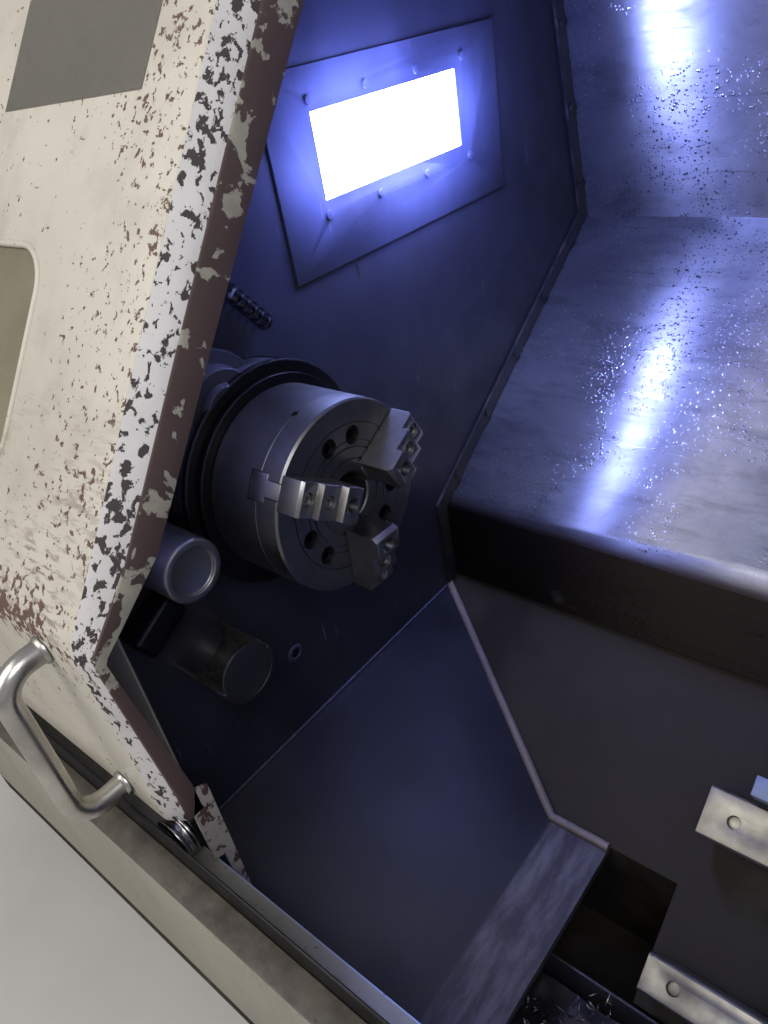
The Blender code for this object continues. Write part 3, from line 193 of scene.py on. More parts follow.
def makeDoorPaint(name, look, wear):
    finish, tree, shader = startFinish(name)
    point = surfacePoint(tree)
    parts = axisParts(tree)
    patches = stepBetween(tree, mottle(tree, point, 3.5, 4), 0.35, 0.7)
    colour = blendColour(tree, patches, look["paint"], look["shade"])
    # chips crowd along the bend and the leading edge
    fromBend = combine(tree, "ABSOLUTE", combine(tree, "SUBTRACT", parts["Z"], wear["bend"]), 0.0)
    nearBend = stepBetween(tree, fromBend, wear["bendReach"], 0.0)
    nearEdge = stepBetween(tree, parts["X"], wear["edge"] - wear["edgeReach"], wear["edge"])
    cluster = mottle(tree, point, 7, 4)
    worn = combine(tree, "MAXIMUM", nearBend, times(tree, nearEdge, 0.55))
    worn = times(tree, worn, plus(tree, cluster, 0.35))
    fine = mottle(tree, point, look["chipSize"], 5, 0.62, 0.25)
    total = plus(tree, plus(tree, fine, times(tree, cluster, 0.35)), times(tree, worn, wear["extraChips"]))
    chips = stepBetween(tree, total, look["chips"] + 0.185, look["chips"] + 0.20)
    # rubbed patches between the window and the bend, in short strokes across the door
    zone = times(tree, stepBetween(tree, parts["Z"], wear["scuffHigh"], wear["scuffHigh"] - 0.08),
                 stepBetween(tree, parts["Z"], wear["scuffLow"] - 0.05, wear["scuffLow"] + 0.02))
    strokes = mottle(tree, surfacePoint(tree, (34, 170, 130), (0.25, 0.1, 0.0)), 1.0, 6, 0.72)
    spread = times(tree, zone, stepBetween(tree, mottle(tree, point, 9, 3), 0.42, 0.60))
    rubbed = times(tree, stepBetween(tree, strokes, 0.50, 0.58), spread)
    bare = combine(tree, "MAXIMUM", chips, times(tree, rubbed, 0.72))
    colour = blendColour(tree, bare, colour, wear["primer"])
    dirt = stepBetween(tree, mottle(tree, point, 12, 6), 0.48, 0.78, 0.0, 0.35)
    colour = blendColour(tree, dirt, colour, (0.20, 0.17, 0.14))
    rough = stepBetween(tree, bare, 0, 1, look["roughness"], 0.75)
    feed(tree, shader, {"Base Color": colour, "Roughness": rough})
    addChipRelief(tree, shader, point, bare)
    return finish


def makeChippedStrip(name, top, under, size, share, stretch=(1, 1, 1), roughness=0.45):
    finish, tree, shader = startFinish(name)
    point = surfacePoint(tree)
    fine = mottle(tree, surfacePoint(tree, stretch), size, 5, 0.6, 0.3)
    cluster = mottle(tree, point, 9, 3)
    total = plus(tree, fine, times(tree, cluster, 0.3))
    gone = stepBetween(tree, total, 0.78 - share, 0.795 - share)
    tone = blendColour(tree, stepBetween(tree, cluster, 0.35, 0.7), top, darker(top, 0.82))
    below = blendColour(tree, mottle(tree, point, 45, 4), under, darker(under, 0.45))
    feed(tree, shader, {"Base Color": blendColour(tree, gone, tone, below),
                        "Roughness": stepBetween(tree, gone, 0, 1, roughness, roughness + 0.25)})
    addChipRelief(tree, shader, point, gone, 260, 0.4)
    return finish


def makePlainPaint(name, colour, shade, roughness, drips=0.3, metallic=0.0):
    finish, tree, shader = startFinish(name)
    point = surfacePoint(tree)
    tone = blendColour(tree, stepBetween(tree, mottle(tree, point, 4, 6), 0.3, 0.75), colour, shade)
    runs = mottle(tree, surfacePoint(tree, (14, 14, 1.2)), 3.0, 6, 0.65)
    tone = blendColour(tree, stepBetween(tree, runs, 0.5, 0.8, 0.0, drips), tone, (0.015, 0.014, 0.013))
    scratches = mottle(tree, surfacePoint(tree, (3, 160, 12), (0.7, 0.1, 0.3)), 1.0, 3, 0.5)
    tone = blendColour(tree, stepBetween(tree, scratches, 0.70, 0.73, 0.0, 0.25), tone, (0.25, 0.26, 0.30))
    rough = stepBetween(tree, mottle(tree, point, 12, 6), 0.3, 0.7, roughness - 0.12, roughness + 0.2)
    feed(tree, shader, {"Base Color": tone, "Roughness": rough, "Metallic": metallic})
    addRelief(tree, shader, mottle(tree, point, 140, 4), 0.18, 0.0008)
    return finish


def makePanPaint(name, look):
    finish, tree, shader = startFinish(name)
    point = surfacePoint(tree)
    parts = axisParts(tree)
    clouds = mottle(tree, point, 5, 7, 0.65)
    tone = blendColour(tree, stepBetween(tree, clouds, 0.35, 0.65), look["sheet"], look["worn"])
    scratches = mottle(tree, surfacePoint(tree, (2.5, 210, 30), (0.9, 0.3, 1.1)), 1.0, 6, 0.7)
    tone = blendColour(tree, stepBetween(tree, scratches, 0.60, 0.80, 0.0, 0.18), tone, look["scratch"])
    # the ledge is scraped paler where chips are raked off
    ledge = times(tree, stepBetween(tree, parts["X"], look["ledgeStart"], look["ledgeStart"] + 0.006),
                  stepBetween(tree, parts["Z"], look["ledgeTop"] + 0.01, look["ledgeTop"] - 0.005))
    raked = mottle(tree, surfacePoint(tree, (40, 9, 9)), 1.5, 7, 0.7)
    pale = times(tree, ledge, stepBetween(tree, raked, 0.40, 0.62, 0.25, 1.0))
    film = stepBetween(tree, mottle(tree, point, 3.5, 6, 0.6), 0.40, 0.62, 0.38, 0.60)
    feed(tree, shader, {"Base Color": blendColour(tree, pale, tone, look["ledge"]),
                        "Roughness": plus(tree, film, times(tree, ledge, 0.12))})
    addRelief(tree, shader, plus(tree, mottle(tree, point, 150, 4), scratches), 0.2, 0.0008)
    return finish


def makeSillPaint(name, look):
    finish, tree, shader = startFinish(name)
    point = surfacePoint(tree)
    parts = axisParts(tree)
    patches = stepBetween(tree, mottle(tree, point, 4, 4), 0.35, 0.7)
    colour = blendColour(tree, patches, look["paint"], look["shade"])
    runs = mottle(tree, surfacePoint(tree, (26, 26, 3)), 1.6, 6, 0.6)
    drips = stepBetween(tree, runs, 0.54, 0.78, 0.0, 0.35)
    colour = blendColour(tree, drips, colour, (0.12, 0.105, 0.085))
    # the strip beside the rail keeps oil and dirt
    top = stepBetween(tree, parts["Z"], look["top"] - 0.0012, look["top"] - 0.0004)
    oil = times(tree, top, stepBetween(tree, mottle(tree, point, 28, 6, 0.7), 0.30, 0.62, 1.0, 0.72))
    colour = blendColour(tree, oil, colour, look["oil"])
    # painted light: the inside strip of the sill is coloured blue for the work lamp's light falling on it
    inside = stepBetween(tree, parts["Y"], look["inside"], look["inside"] + 0.001)
    colour = blendColour(tree, inside, colour, look["paintedLampLight"])
    specks = stepBetween(tree, mottle(tree, point, 130, 4, 0.6), 0.66, 0.68, 0.0, 0.8)
    colour = blendColour(tree, specks, colour, (0.05, 0.042, 0.038))
    feed(tree, shader, {"Base Color": colour, "Roughness": stepBetween(tree, oil, 0, 1, 0.5, 0.28)})
    addRelief(tree, shader, mottle(tree, point, 180, 4), 0.2, 0.0006)
    return finish


# ---- metals
# socket is the colour of the painted shade on the disc inside the hood
hoodLook = {"light": (0.55, 0.51, 0.46), "dark": (0.14, 0.13, 0.12), "end": -0.210,
            "socket": (0.012, 0.012, 0.014)}
coverLook = {"light": (0.34, 0.35, 0.40), "dark": (0.19, 0.19, 0.23), "smear": (0.075, 0.070, 0.075),
             "stain": (0.034, 0.027, 0.024), "stainTop": 0.708, "roughness": 0.33, "streak": 0.85, "lean": 430}


def makeWetSteel(name, look):
    finish, tree, shader = startFinish(name)
    point = surfacePoint(tree)
    parts = axisParts(tree)
    brushed = mottle(tree, surfacePoint(tree, (1.2, 90, 90)), 2.0, 6, 0.6)
    clouds = mottle(tree, point, 5, 7, 0.65, 0.5)
    tone = blendColour(tree, stepBetween(tree, clouds, 0.35, 0.65), look["light"], look["dark"])
    wiped = mottle(tree, surfacePoint(tree, (7, 40, 12)), 1.4, 6, 0.65)
    smear = stepBetween(tree, wiped, 0.50, 0.72, 0.0, 0.5)
    tone = blendColour(tree, smear, tone, look["smear"])
    # old oil low on the cover
    low = stepBetween(tree, parts["Z"], look["stainTop"], look["stainTop"] - 0.014)
    stain = times(tree, low, stepBetween(tree, clouds, 0.15, 0.40))
    wet = stepBetween(tree, mottle(tree, point, 6, 4), 0.44, 0.56)
    beads = 0.0
    for scale, size in ((95, 0.26), (190, 0.30)):
        drops = addNode(tree, "TexVoronoi", {"Scale": scale, "Randomness": 1.0}, {"Vector": point})
        bead = times(tree, stepBetween(tree, drops.outputs["Distance"], size, size * 0.5), wet)
        beads = combine(tree, "MAXIMUM", bead, beads)
    # brushed along the bed, so reflections spread up and down the cover
    normal = addNode(tree, "NewGeometry").outputs["Normal"]
    upSlope = addNode(tree, "VectorMath", {"operation": "CROSS_PRODUCT", 1: (1, 0, 0)}, {0: normal})
    rough = stepBetween(tree, brushed, 0.3, 0.7, look["roughness"] - 0.07, look["roughness"] + 0.10)
    rough = plus(tree, rough, times(tree, stain, 0.25))
    feed(tree, shader, {"Base Color": blendColour(tree, stain, tone, look["stain"]), "Metallic": 0.9,
                        "Tangent": upSlope.outputs["Vector"], "Anisotropic": look["streak"],
                        "Roughness": combine(tree, "SUBTRACT", rough, times(tree, beads, 0.20))})
    # the flat sheet is shaded as if it leaned a little to the right, which places the lens's reflection
    height = plus(tree, times(tree, brushed, 0.15), beads)
    height = combine(tree, "SUBTRACT", height, times(tree, parts["X"], look["lean"]))
    addRelief(tree, shader, height, 0.30, 0.0012)
    return finish


def makeSteel(name, light, dark, roughness, oil, turning=None):
    finish, tree, shader = startFinish(name)
    point = surfacePoint(tree)
    clouds = mottle(tree, point, 14, 6)
    tone = blendColour(tree, stepBetween(tree, clouds, 0.35, 0.7), light, dark)
    film = stepBetween(tree, mottle(tree, point, 6, 5, 0.7), 0.5, 0.7, 0.0, oil)
    feed(tree, shader, {"Base Color": blendColour(tree, film, tone, (0.03, 0.028, 0.025)), "Metallic": 1.0,
                        "Roughness": stepBetween(tree, clouds, 0.3, 0.7, roughness - 0.08, roughness + 0.14)})
    if turning:  # rings left by the tool, seen on a face across the spindle
        parts = axisParts(tree)
        dy = combine(tree, "SUBTRACT", parts["Y"], lathe["chuckFace"].y)
        dz = combine(tree, "SUBTRACT", parts["Z"], lathe["chuckFace"].z)
        reach = combine(tree, "SQRT", plus(tree, times(tree, dy, dy), times(tree, dz, dz)), 0.0)
        along = times(tree, plus(tree, reach, parts["X"]), turning)
        values = {"noise_dimensions": "1D", "Scale": 1.0, "Detail": 2.0}
        rings = addNode(tree, "TexNoise", values, {"W": along})
        addRelief(tree, shader, rings.outputs["Fac"], 0.12, 0.0004)
    else:
        addRelief(tree, shader, mottle(tree, surfacePoint(tree, (12, 260, 260)), 1.5, 3), 0.10, 0.0004)
    return finish


def makeHoodSteel(name, look):
    finish, tree, shader = startFinish(name)
    clouds = mottle(tree, surfacePoint(tree), 26, 6, 0.65)
    lines = mottle(tree, surfacePoint(tree, (5, 60, 60)), 3.0, 4, 0.6)
    tone = blendColour(tree, stepBetween(tree, clouds, 0.40, 0.62), look["light"], look["dark"])
    tone = blendColour(tree, stepBetween(tree, lines, 0.48, 0.70, 0.0, 0.6), tone, look["dark"])
    # the disc inside the hood is painted dark and dull, painted shade for the hollow of the hood
    end = stepBetween(tree, axisParts(tree)["X"], look["end"] - 0.0022, look["end"] - 0.0012)
    feed(tree, shader, {"Base Color": blendColour(tree, end, tone, look["socket"]),
                        "Metallic": stepBetween(tree, end, 0, 1, 1.0, 0.0),
                        "Roughness": stepBetween(tree, clouds, 0.3, 0.7, 0.28, 0.46)})
    addRelief(tree, shader, lines, 0.2, 0.0006)
    return finish


def makeCasting(name, colour, roughness=0.5, metallic=0.35, shine=0.5):
    finish, tree, shader = startFinish(name)
    point = surfacePoint(tree)
    stain = stepBetween(tree, mottle(tree, point, 8, 6), 0.42, 0.62, 0.0, 0.7)
    tone = blendColour(tree, stain, colour, darker(colour, 0.35))
    feed(tree, shader, {"Base Color": tone, "Metallic": metallic,
                        "Roughness": stepBetween(tree, stain, 0, 0.7, roughness + 0.15, roughness - 0.15),
                        "Specular IOR Level": shine})
    addRelief(tree, shader, mottle(tree, point, 90, 8, 0.7), 0.5, 0.0015)
    return finish


# ---- plastic, rubber, window and lamp lens
lensLook = {"clean": (0.42, 0.50, 1.0), "grimy": (0.16, 0.20, 0.9), "strength": 64.0}


def makePlastic(name, colour, roughness=0.4):
    finish, tree, shader = startFinish(name)
    point = surfacePoint(tree)
    hand = stepBetween(tree, mottle(tree, point, 10, 4), 0.45, 0.7, 0.0, 0.35)
    feed(tree, shader, {"Base Color": blendColour(tree, hand, colour, darker(colour, 0.5)),
                        "Roughness": stepBetween(tree, hand, 0, 0.35, roughness, roughness + 0.2)})
    addRelief(tree, shader, mottle(tree, point, 500, 2), 0.15, 0.0004)
    return finish


def makeOilyRubber(name, clean, dusty):
    finish, tree, shader = startFinish(name)
    point = surfacePoint(tree)
    dust = stepBetween(tree, mottle(tree, point, 25, 6), 0.5, 0.7, 0.0, 0.5)
    feed(tree, shader, {"Base Color": blendColour(tree, dust, clean, dusty),
                        "Roughness": stepBetween(tree, dust, 0, 0.5, 0.30, 0.7)})
    addRelief(tree, shader, mottle(tree, point, 120, 4), 0.3, 0.0008)
    return finish


def makeOldWindow(name, hazy, yellowed):
    finish, tree, shader = startFinish(name)
    point = surfacePoint(tree)
    haze = stepBetween(tree, mottle(tree, point, 6, 6), 0.35, 0.65)
    feed(tree, shader, {"Base Color": blendColour(tree, haze, hazy, yellowed), "Transmission Weight": 0.25,
                        "Roughness": stepBetween(tree, mottle(tree, point, 40, 5), 0.3, 0.7, 0.12, 0.35)})
    addRelief(tree, shader, mottle(tree, surfacePoint(tree, (30, 4, 4)), 3, 3), 0.08, 0.0005)
    return finish


def makeLampLens(name, look):
    finish, tree, shader = startFinish(name)
    point = surfacePoint(tree)
    grime = stepBetween(tree, mottle(tree, point, 22, 6), 0.5, 0.85, 0.0, 0.5)
    glow = blendColour(tree, grime, look["clean"], look["grimy"])
    feed(tree, shader, {"Emission Color": glow, "Base Color": glow, "Emission Strength": look["strength"],
                        "Roughness": 0.2})
    addRelief(tree, shader, mottle(tree, point, 60, 3), 0.1, 0.0005)
    return finish


# every finish under the function that makes it, with the values that it takes
recipes = {
    makeDoorPaint: {"doorPaint": (creamPaint, doorWear)},
    makeWornPaint: {"panelPaint": ({**creamPaint, **panelWear},)},
    makePanPaint: {"panPaint": (panLook,)},
    makeSillPaint: {"sillPaint": (sillLook,)},
    makeWetSteel: {"wetSteel": (coverLook,)},
    makeHoodSteel: {"hoodSteel": (hoodLook,)},
    makeLampLens: {"lampLens": (lensLook,)},
    makeOilyRubber: {"oilyRubber": ((0.012, 0.012, 0.013), (0.07, 0.06, 0.05))},
    makeOldWindow: {"oldWindow": ((0.34, 0.31, 0.20), (0.24, 0.21, 0.13))},
    makeChippedStrip: {  # paint, what is under it, chip size, share chipped, stretch, roughness
        "edgeStrip": ((0.60, 0.57, 0.56), (0.050, 0.034, 0.036), 150, 0.085, (1, 0.6, 0.6)),
        "primerFlange": ((0.105, 0.066, 0.058), (0.52, 0.48, 0.38), 30, 0.080, (1.6, 0.8, 0.8), 0.55),
        "tailPaint": ((0.42, 0.37, 0.32), (0.11, 0.060, 0.050), 70, 0.12, (1, 1, 1), 0.5),
    },
    makePlainPaint: {  # paint, its darker shade, roughness, drips, metallic
        "greyPlate": ((0.30, 0.28, 0.245), (0.27, 0.25, 0.22), 0.5, 0.12),
        "wallPaint": ((0.027, 0.028, 0.040), (0.014, 0.014, 0.019), 0.42, 0.35, 0.2),
        "platePaint": ((0.050, 0.054, 0.085), (0.030, 0.032, 0.050), 0.45, 0.3, 0.2),
        "tankPaint": ((0.030, 0.030, 0.036), (0.015, 0.015, 0.017), 0.5, 0.6),
        "panBead": ((0.125, 0.098, 0.080), (0.060, 0.048, 0.042), 0.5, 0.4),
    },
    makeSteel: {  # light and dark tone, roughness, oil film, turning rings
        "chuckSteel": ((0.24, 0.235, 0.235), (0.14, 0.135, 0.14), 0.36, 0.4, 2600),
        "jawSteel": ((0.36, 0.35, 0.34), (0.21, 0.20, 0.20), 0.34, 0.3),
        "waySteel": ((0.35, 0.335, 0.29), (0.20, 0.185, 0.155), 0.48, 0.5),
        "darkSteel": ((0.10, 0.10, 0.105), (0.045, 0.045, 0.048), 0.40, 0.5),
        "brightSteel": ((0.55, 0.54, 0.52), (0.38, 0.36, 0.34), 0.26, 0.15),
        "handleSteel": ((0.60, 0.58, 0.54), (0.40, 0.38, 0.35), 0.27, 0.1),
        "blackSteel": ((0.035, 0.035, 0.038), (0.02, 0.02, 0.02), 0.38, 0.2),
        "wetFitting": ((0.20, 0.20, 0.22), (0.07, 0.07, 0.08), 0.16, 0.3),
        "swarfSteel": ((0.32, 0.30, 0.31), (0.10, 0.09, 0.10), 0.32, 0.4),
    },
    makeCasting: {  # colour, roughness, metallic, shine
        "sludge": ((0.020, 0.017, 0.018), 0.42),
        "castingEnamel": ((0.034, 0.034, 0.038),),
        "bedCasting": ((0.023, 0.019, 0.014), 0.68, 0.05, 0.18),
        "tailCasting": ((0.16, 0.20, 0.27), 0.45),
    },
    makePlastic: {  # colour, roughness
        "darkPlastic": ((0.05, 0.05, 0.055),),
        "redPlastic": ((0.50, 0.02, 0.015), 0.3),
        "greenPlastic": ((0.02, 0.25, 0.05), 0.3),
    },
}
finishes = {name: make(name, *values) for make, rows in recipes.items() for name, values in rows.items()}
print("stage: finishes made,", len(finishes))

finishOfNode = {
    "castingEnamel": ("headstock_casting", "spindle_pulley", "motor_pulley", "spindle_motor", "saddle",
                      "cross_slide"),
    "bedCasting": ("bed_casting",),
    "tailCasting": ("tailstock_body",),
    "waySteel": ("carriage_way_front", "carriage_way_back", "tailstock_way_front", "tailstock_way_back"),
    "blackSteel": ("nose_ring", "chuck_adapter_ring", "setter_bracket", "door_rail"),
    "wallPaint": ("headstock_wall", "right_wall"),
    "platePaint": ("light_plate",),
    "tankPaint": ("coolant_tank",),
    "panPaint": ("chip_pan",),
    "lampLens": ("light_lens",),
    "oilyRubber": ("wiper_strip", "drive_belt"),
    "jawSteel": ("turret_disc", "quill", "live_centre", "master_jaw_1", "master_jaw_2", "master_jaw_3",
                 "top_jaw_1", "top_jaw_2", "top_jaw_3", "spindle_shaft", "setter_hub"),
    "hoodSteel": ("setter_hood",),
    "brightSteel": ("carriage_ball_screw", "cross_ball_screw", "door_roller_left", "door_roller_right"),
    "wetSteel": ("way_cover",),
    "panelPaint": ("left_front_panel", "right_front_panel", "roof_panel", "electrical_cabinet",
                   "cabinet_door"),
    "sillPaint": ("front_sill",),
    "darkPlastic": ("console_housing", "carriage_servo_motor", "hand_wheel"),
    "redPlastic": ("emergency_stop", "feed_hold"),
    "greenPlastic": ("cycle_start",),
    "oldWindow": ("door_window",),
    "doorPaint": ("door_shell",),
    "chuckSteel": ("chuck_body", "door_handle"),
}
for finishName, nodeNames in finishOfNode.items():
    for nodeName in nodeNames:
        for slot in machineNodes[nodeName].material_slots:
            slot.material = finishes[finishName]


# ---- shared ways of making pieces
alongX = Matrix.Rotation(math.pi / 2, 4, "Y")


def addObject(name, data):
    thing = bpy.data.objects.new(name, data)
    scene.collection.objects.link(thing)
    return thing


def closeMesh(bm, name):
    mesh = bpy.data.meshes.new(name)
    bm.to_mesh(mesh)
    bm.free()
    return mesh


def softShade(mesh, degrees):
    mesh.shade_smooth()
    mesh.set_sharp_from_angle(angle=math.radians(degrees))


def keepPiece(name, mesh, finishNames, body, shade=None):
    piece = addObject(name, mesh)
    for finishName in finishNames:
        mesh.materials.append(finishes[finishName])
    if shade:
        softShade(mesh, shade)
    if body:
        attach(piece, body)
    return piece


def applyModifiers(piece):
    bpy.context.view_layer.update()
    graph = bpy.context.evaluated_depsgraph_get()
    shaped = bpy.data.meshes.new_from_object(piece.evaluated_get(graph))
    piece.modifiers.clear()
    piece.data = shaped


def cutAway(piece, mesh):
    tool = addObject("tool", mesh)
    cut = piece.modifiers.new("cut", "BOOLEAN")
    cut.object = tool
    cut.solver = "EXACT"
    applyModifiers(piece)
    bpy.data.objects.remove(tool, do_unlink=True)


def bevelEdges(piece, width, degrees=30):
    edge = piece.modifiers.new("softEdges", "BEVEL")
    edge.width = width
    edge.segments = 2
    edge.limit_method = "ANGLE"
    edge.angle_limit = math.radians(degrees)
    edge.harden_normals = False
    applyModifiers(piece)
    softShade(piece.data, 40)


def refineNode(nodeName, width, finishName, slotName, body, tool=None):
    bm = bmesh.new()
    bm.from_mesh(machineNodes[nodeName].data)
    bmesh.ops.remove_doubles(bm, verts=bm.verts, dist=0.00002)
    bmesh.ops.dissolve_limit(bm, angle_limit=math.radians(1.0), verts=bm.verts, edges=bm.edges)
    name = nodeName + "Fine"
    piece = keepPiece(name, closeMesh(bm, name), [finishName], None)
    bevelEdges(piece, width)
    if tool:
        cutAway(piece, tool)
        softShade(piece.data, 40)
    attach(piece, body)
    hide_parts(nodeName)
    return piece


def turnedMesh(profile, steps=64):
    mesh = bpy.data.meshes.new("turned")
    mesh.from_pydata([(radius, 0, height) for radius, height in profile],
                     [(i, i + 1) for i in range(len(profile) - 1)], [])
    spinner = addObject("turned", mesh)
    turn = spinner.modifiers.new("turned", "SCREW")
    turn.steps = turn.render_steps = steps
    turn.use_merge_vertices = True
    turn.merge_threshold = 0.00001
    applyModifiers(spinner)
    bm = bmesh.new()
    bm.from_mesh(spinner.data)
    bmesh.ops.recalc_face_normals(bm, faces=bm.faces)
    bpy.data.objects.remove(spinner, do_unlink=True)
    return closeMesh(bm, "turned")


def tubeMesh(points, radius, rings, cyclic=False):
    curve = bpy.data.curves.new("tube", "CURVE")
    curve.dimensions = "3D"
    curve.bevel_depth = radius
    curve.bevel_resolution = rings
    curve.use_fill_caps = True
    line = curve.splines.new("POLY")
    line.points.add(len(points) - 1)
    for spot, place in zip(line.points, points):
        spot.co = (*place, 1)
    line.use_cyclic_u = cyclic
    holder = addObject("tube", curve)
    bpy.context.view_layer.update()
    graph = bpy.context.evaluated_depsgraph_get()
    mesh = bpy.data.meshes.new_from_object(holder.evaluated_get(graph))
    bpy.data.objects.remove(holder, do_unlink=True)
    softShade(mesh, 50)
    return mesh


def joinMeshes(parts):
    bm = bmesh.new()
    for mesh, place in parts:
        copy = mesh.copy()
        copy.transform(place)
        bm.from_mesh(copy)
        bpy.data.meshes.remove(copy)
    return closeMesh(bm, "joined")


def prismMesh(outline, depth):
    bm = bmesh.new()
    near = [bm.verts.new(point) for point in outline]
    far = [bm.verts.new(point + depth) for point in outline]
    bm.faces.new(near)
    bm.faces.new(far[::-1])
    for i in range(len(outline)):
        j = (i + 1) % len(outline)
        bm.faces.new((near[j], near[i], far[i], far[j]))
    bmesh.ops.recalc_face_normals(bm, faces=bm.faces)
    return closeMesh(bm, "prism")


def boxMesh(low, high):
    bm = bmesh.new()
    bmesh.ops.create_cube(bm, size=1)
    for vert in bm.verts:
        vert.co = [(a + b) / 2 + (b - a) * share for a, b, share in zip(low, high, vert.co)]
    return closeMesh(bm, "box")


# ---- the guard door: skin, chamfered edge, primer flange
door = {
    "edge": -0.028, "width": 0.940, "chamferAcross": 0.021, "chamferStart": 0.03, "chamferEnd": 0.44,
    "sheet": 0.003, "topFlange": 0.074, "lean": math.radians(53), "bend": (-0.309, 0.012),
    # outer face and inner border of the end flange, from the bottom to the top
    "stations": [((-0.3010, -0.2345), (-0.2690, -0.2345)), ((-0.3024, -0.1900), (-0.2690, -0.1960)),
                 ((-0.3070, -0.0500), (-0.2860, -0.0560)), ((-0.3086, -0.0010), (-0.2915, -0.0070)),
                 ((-0.3072, 0.0133), (-0.2880, -0.0015)), ((-0.2990, 0.0253), (-0.2750, 0.0080)),
                 ((-0.2630, 0.0730), (-0.2100, 0.0580)), ((-0.1500, 0.2230), (-0.0962, 0.2000)),
                 ((-0.0080, 0.4114), (0.0500, 0.3800)), ((0.1340, 0.5998), (0.1940, 0.5550))],
    "window": {"left": -0.640, "right": -0.230, "low": 0.110, "high": 0.340, "corner": 0.045,
               "rim": 0.0038},
    # lower tail of the leading end, behind the rail
    "tail": ((-0.281, -0.2345), (-0.269, -0.204), (-0.255, -0.212), (-0.257, -0.451), (-0.264, -0.430),
             (-0.2685, -0.362), (-0.2685, -0.317), (-0.281, -0.312)),
    "rollerHeight": -0.2917, "rollerIn": (0.042, 0.050),
    # bare grey area, along the slope from the bend
    "plate": {"low": 0.475, "high": 0.588, "left": -0.372, "right": -0.121},
}


def doorSlopePoint(x, along, out):
    # along runs up the slope from the bend, out stands off the door's face
    bendY, bendZ = door["bend"]
    lean = door["lean"]
    return machinePoint(x, bendY + along * math.cos(lean) - out * math.sin(lean),
                        bendZ + along * math.sin(lean) + out * math.cos(lean))


def doorEdgePoint(station, x, share):
    # share goes from the outer face, 0, to the inner border, 1
    (outerY, outerZ), (innerY, innerZ) = station
    return machinePoint(x, outerY + (innerY - outerY) * share, outerZ + (innerZ - outerZ) * share)


def roundedOutline(left, right, low, high, radius, steps=10):
    spots = [(right - radius, high - radius, 0), (left + radius, high - radius, 90),
             (left + radius, low + radius, 180), (right - radius, low + radius, 270)]
    return [(x + radius * math.cos(math.radians(start + 90 * i / steps)),
             y + radius * math.sin(math.radians(start + 90 * i / steps)))
            for x, y, start in spots for i in range(steps + 1)]


def makeDoorSkin():
    left, edge = door["edge"] - door["width"], door["edge"]
    chamfer = edge - door["chamferAcross"]
    columns = ((left, 1.0), (left, 0.12), (left + 0.004, 0.0), (chamfer - 0.004, 0.0),
               (chamfer, door["chamferStart"]), (edge - 0.0012, door["chamferEnd"] - 0.03),
               (edge, door["chamferEnd"] + 0.02), (edge, 1.0))
    bm = bmesh.new()
    rows = [[bm.verts.new(doorEdgePoint(station, x, share)) for x, share in columns]
            for station in door["stations"]]
    finishOfStrip = [2, 0, 0, 0, 1, 2, 2]
    for low, high in zip(rows, rows[1:]):
        for i, part in enumerate(finishOfStrip):
            face = bm.faces.new((low[i], low[i + 1], high[i + 1], high[i]))
            face.material_index = part
    top = rows[-1]
    inward = Vector((0, math.sin(door["lean"]), -math.cos(door["lean"]))) * door["topFlange"]
    back = [bm.verts.new(v.co + inward) for v in (top[2], top[3])]
    bm.faces.new((top[2], top[3], back[1], back[0]))
    bmesh.ops.recalc_face_normals(bm, faces=bm.faces)
    if bm.faces[3].normal.y > 0:
        bmesh.ops.reverse_faces(bm, faces=bm.faces)
    skin = keepPiece("doorSkin", closeMesh(bm, "doorSkin"),
                     ["doorPaint", "edgeStrip", "primerFlange", "brightSteel"], None)
    thick = skin.modifiers.new("sheet", "SOLIDIFY")
    thick.thickness = door["sheet"]
    thick.offset = -1
    thick.material_offset_rim = 3
    applyModifiers(skin)
    window = door["window"]
    outline = roundedOutline(*[window[key] for key in ("left", "right", "low", "high", "corner")])
    through = doorSlopePoint(0, 0, -0.02) - doorSlopePoint(0, 0, 0.02)
    cutAway(skin, prismMesh([doorSlopePoint(x, s, 0.02) for x, s in outline], through))
    bevelEdges(skin, 0.0008, 40)
    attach(skin, "door")
    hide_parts("door_shell")
    rim = tubeMesh([doorSlopePoint(x, s, -0.0010) for x, s in outline], window["rim"], 5, True)
    keepPiece("windowRim", rim, ["doorPaint"], "door")


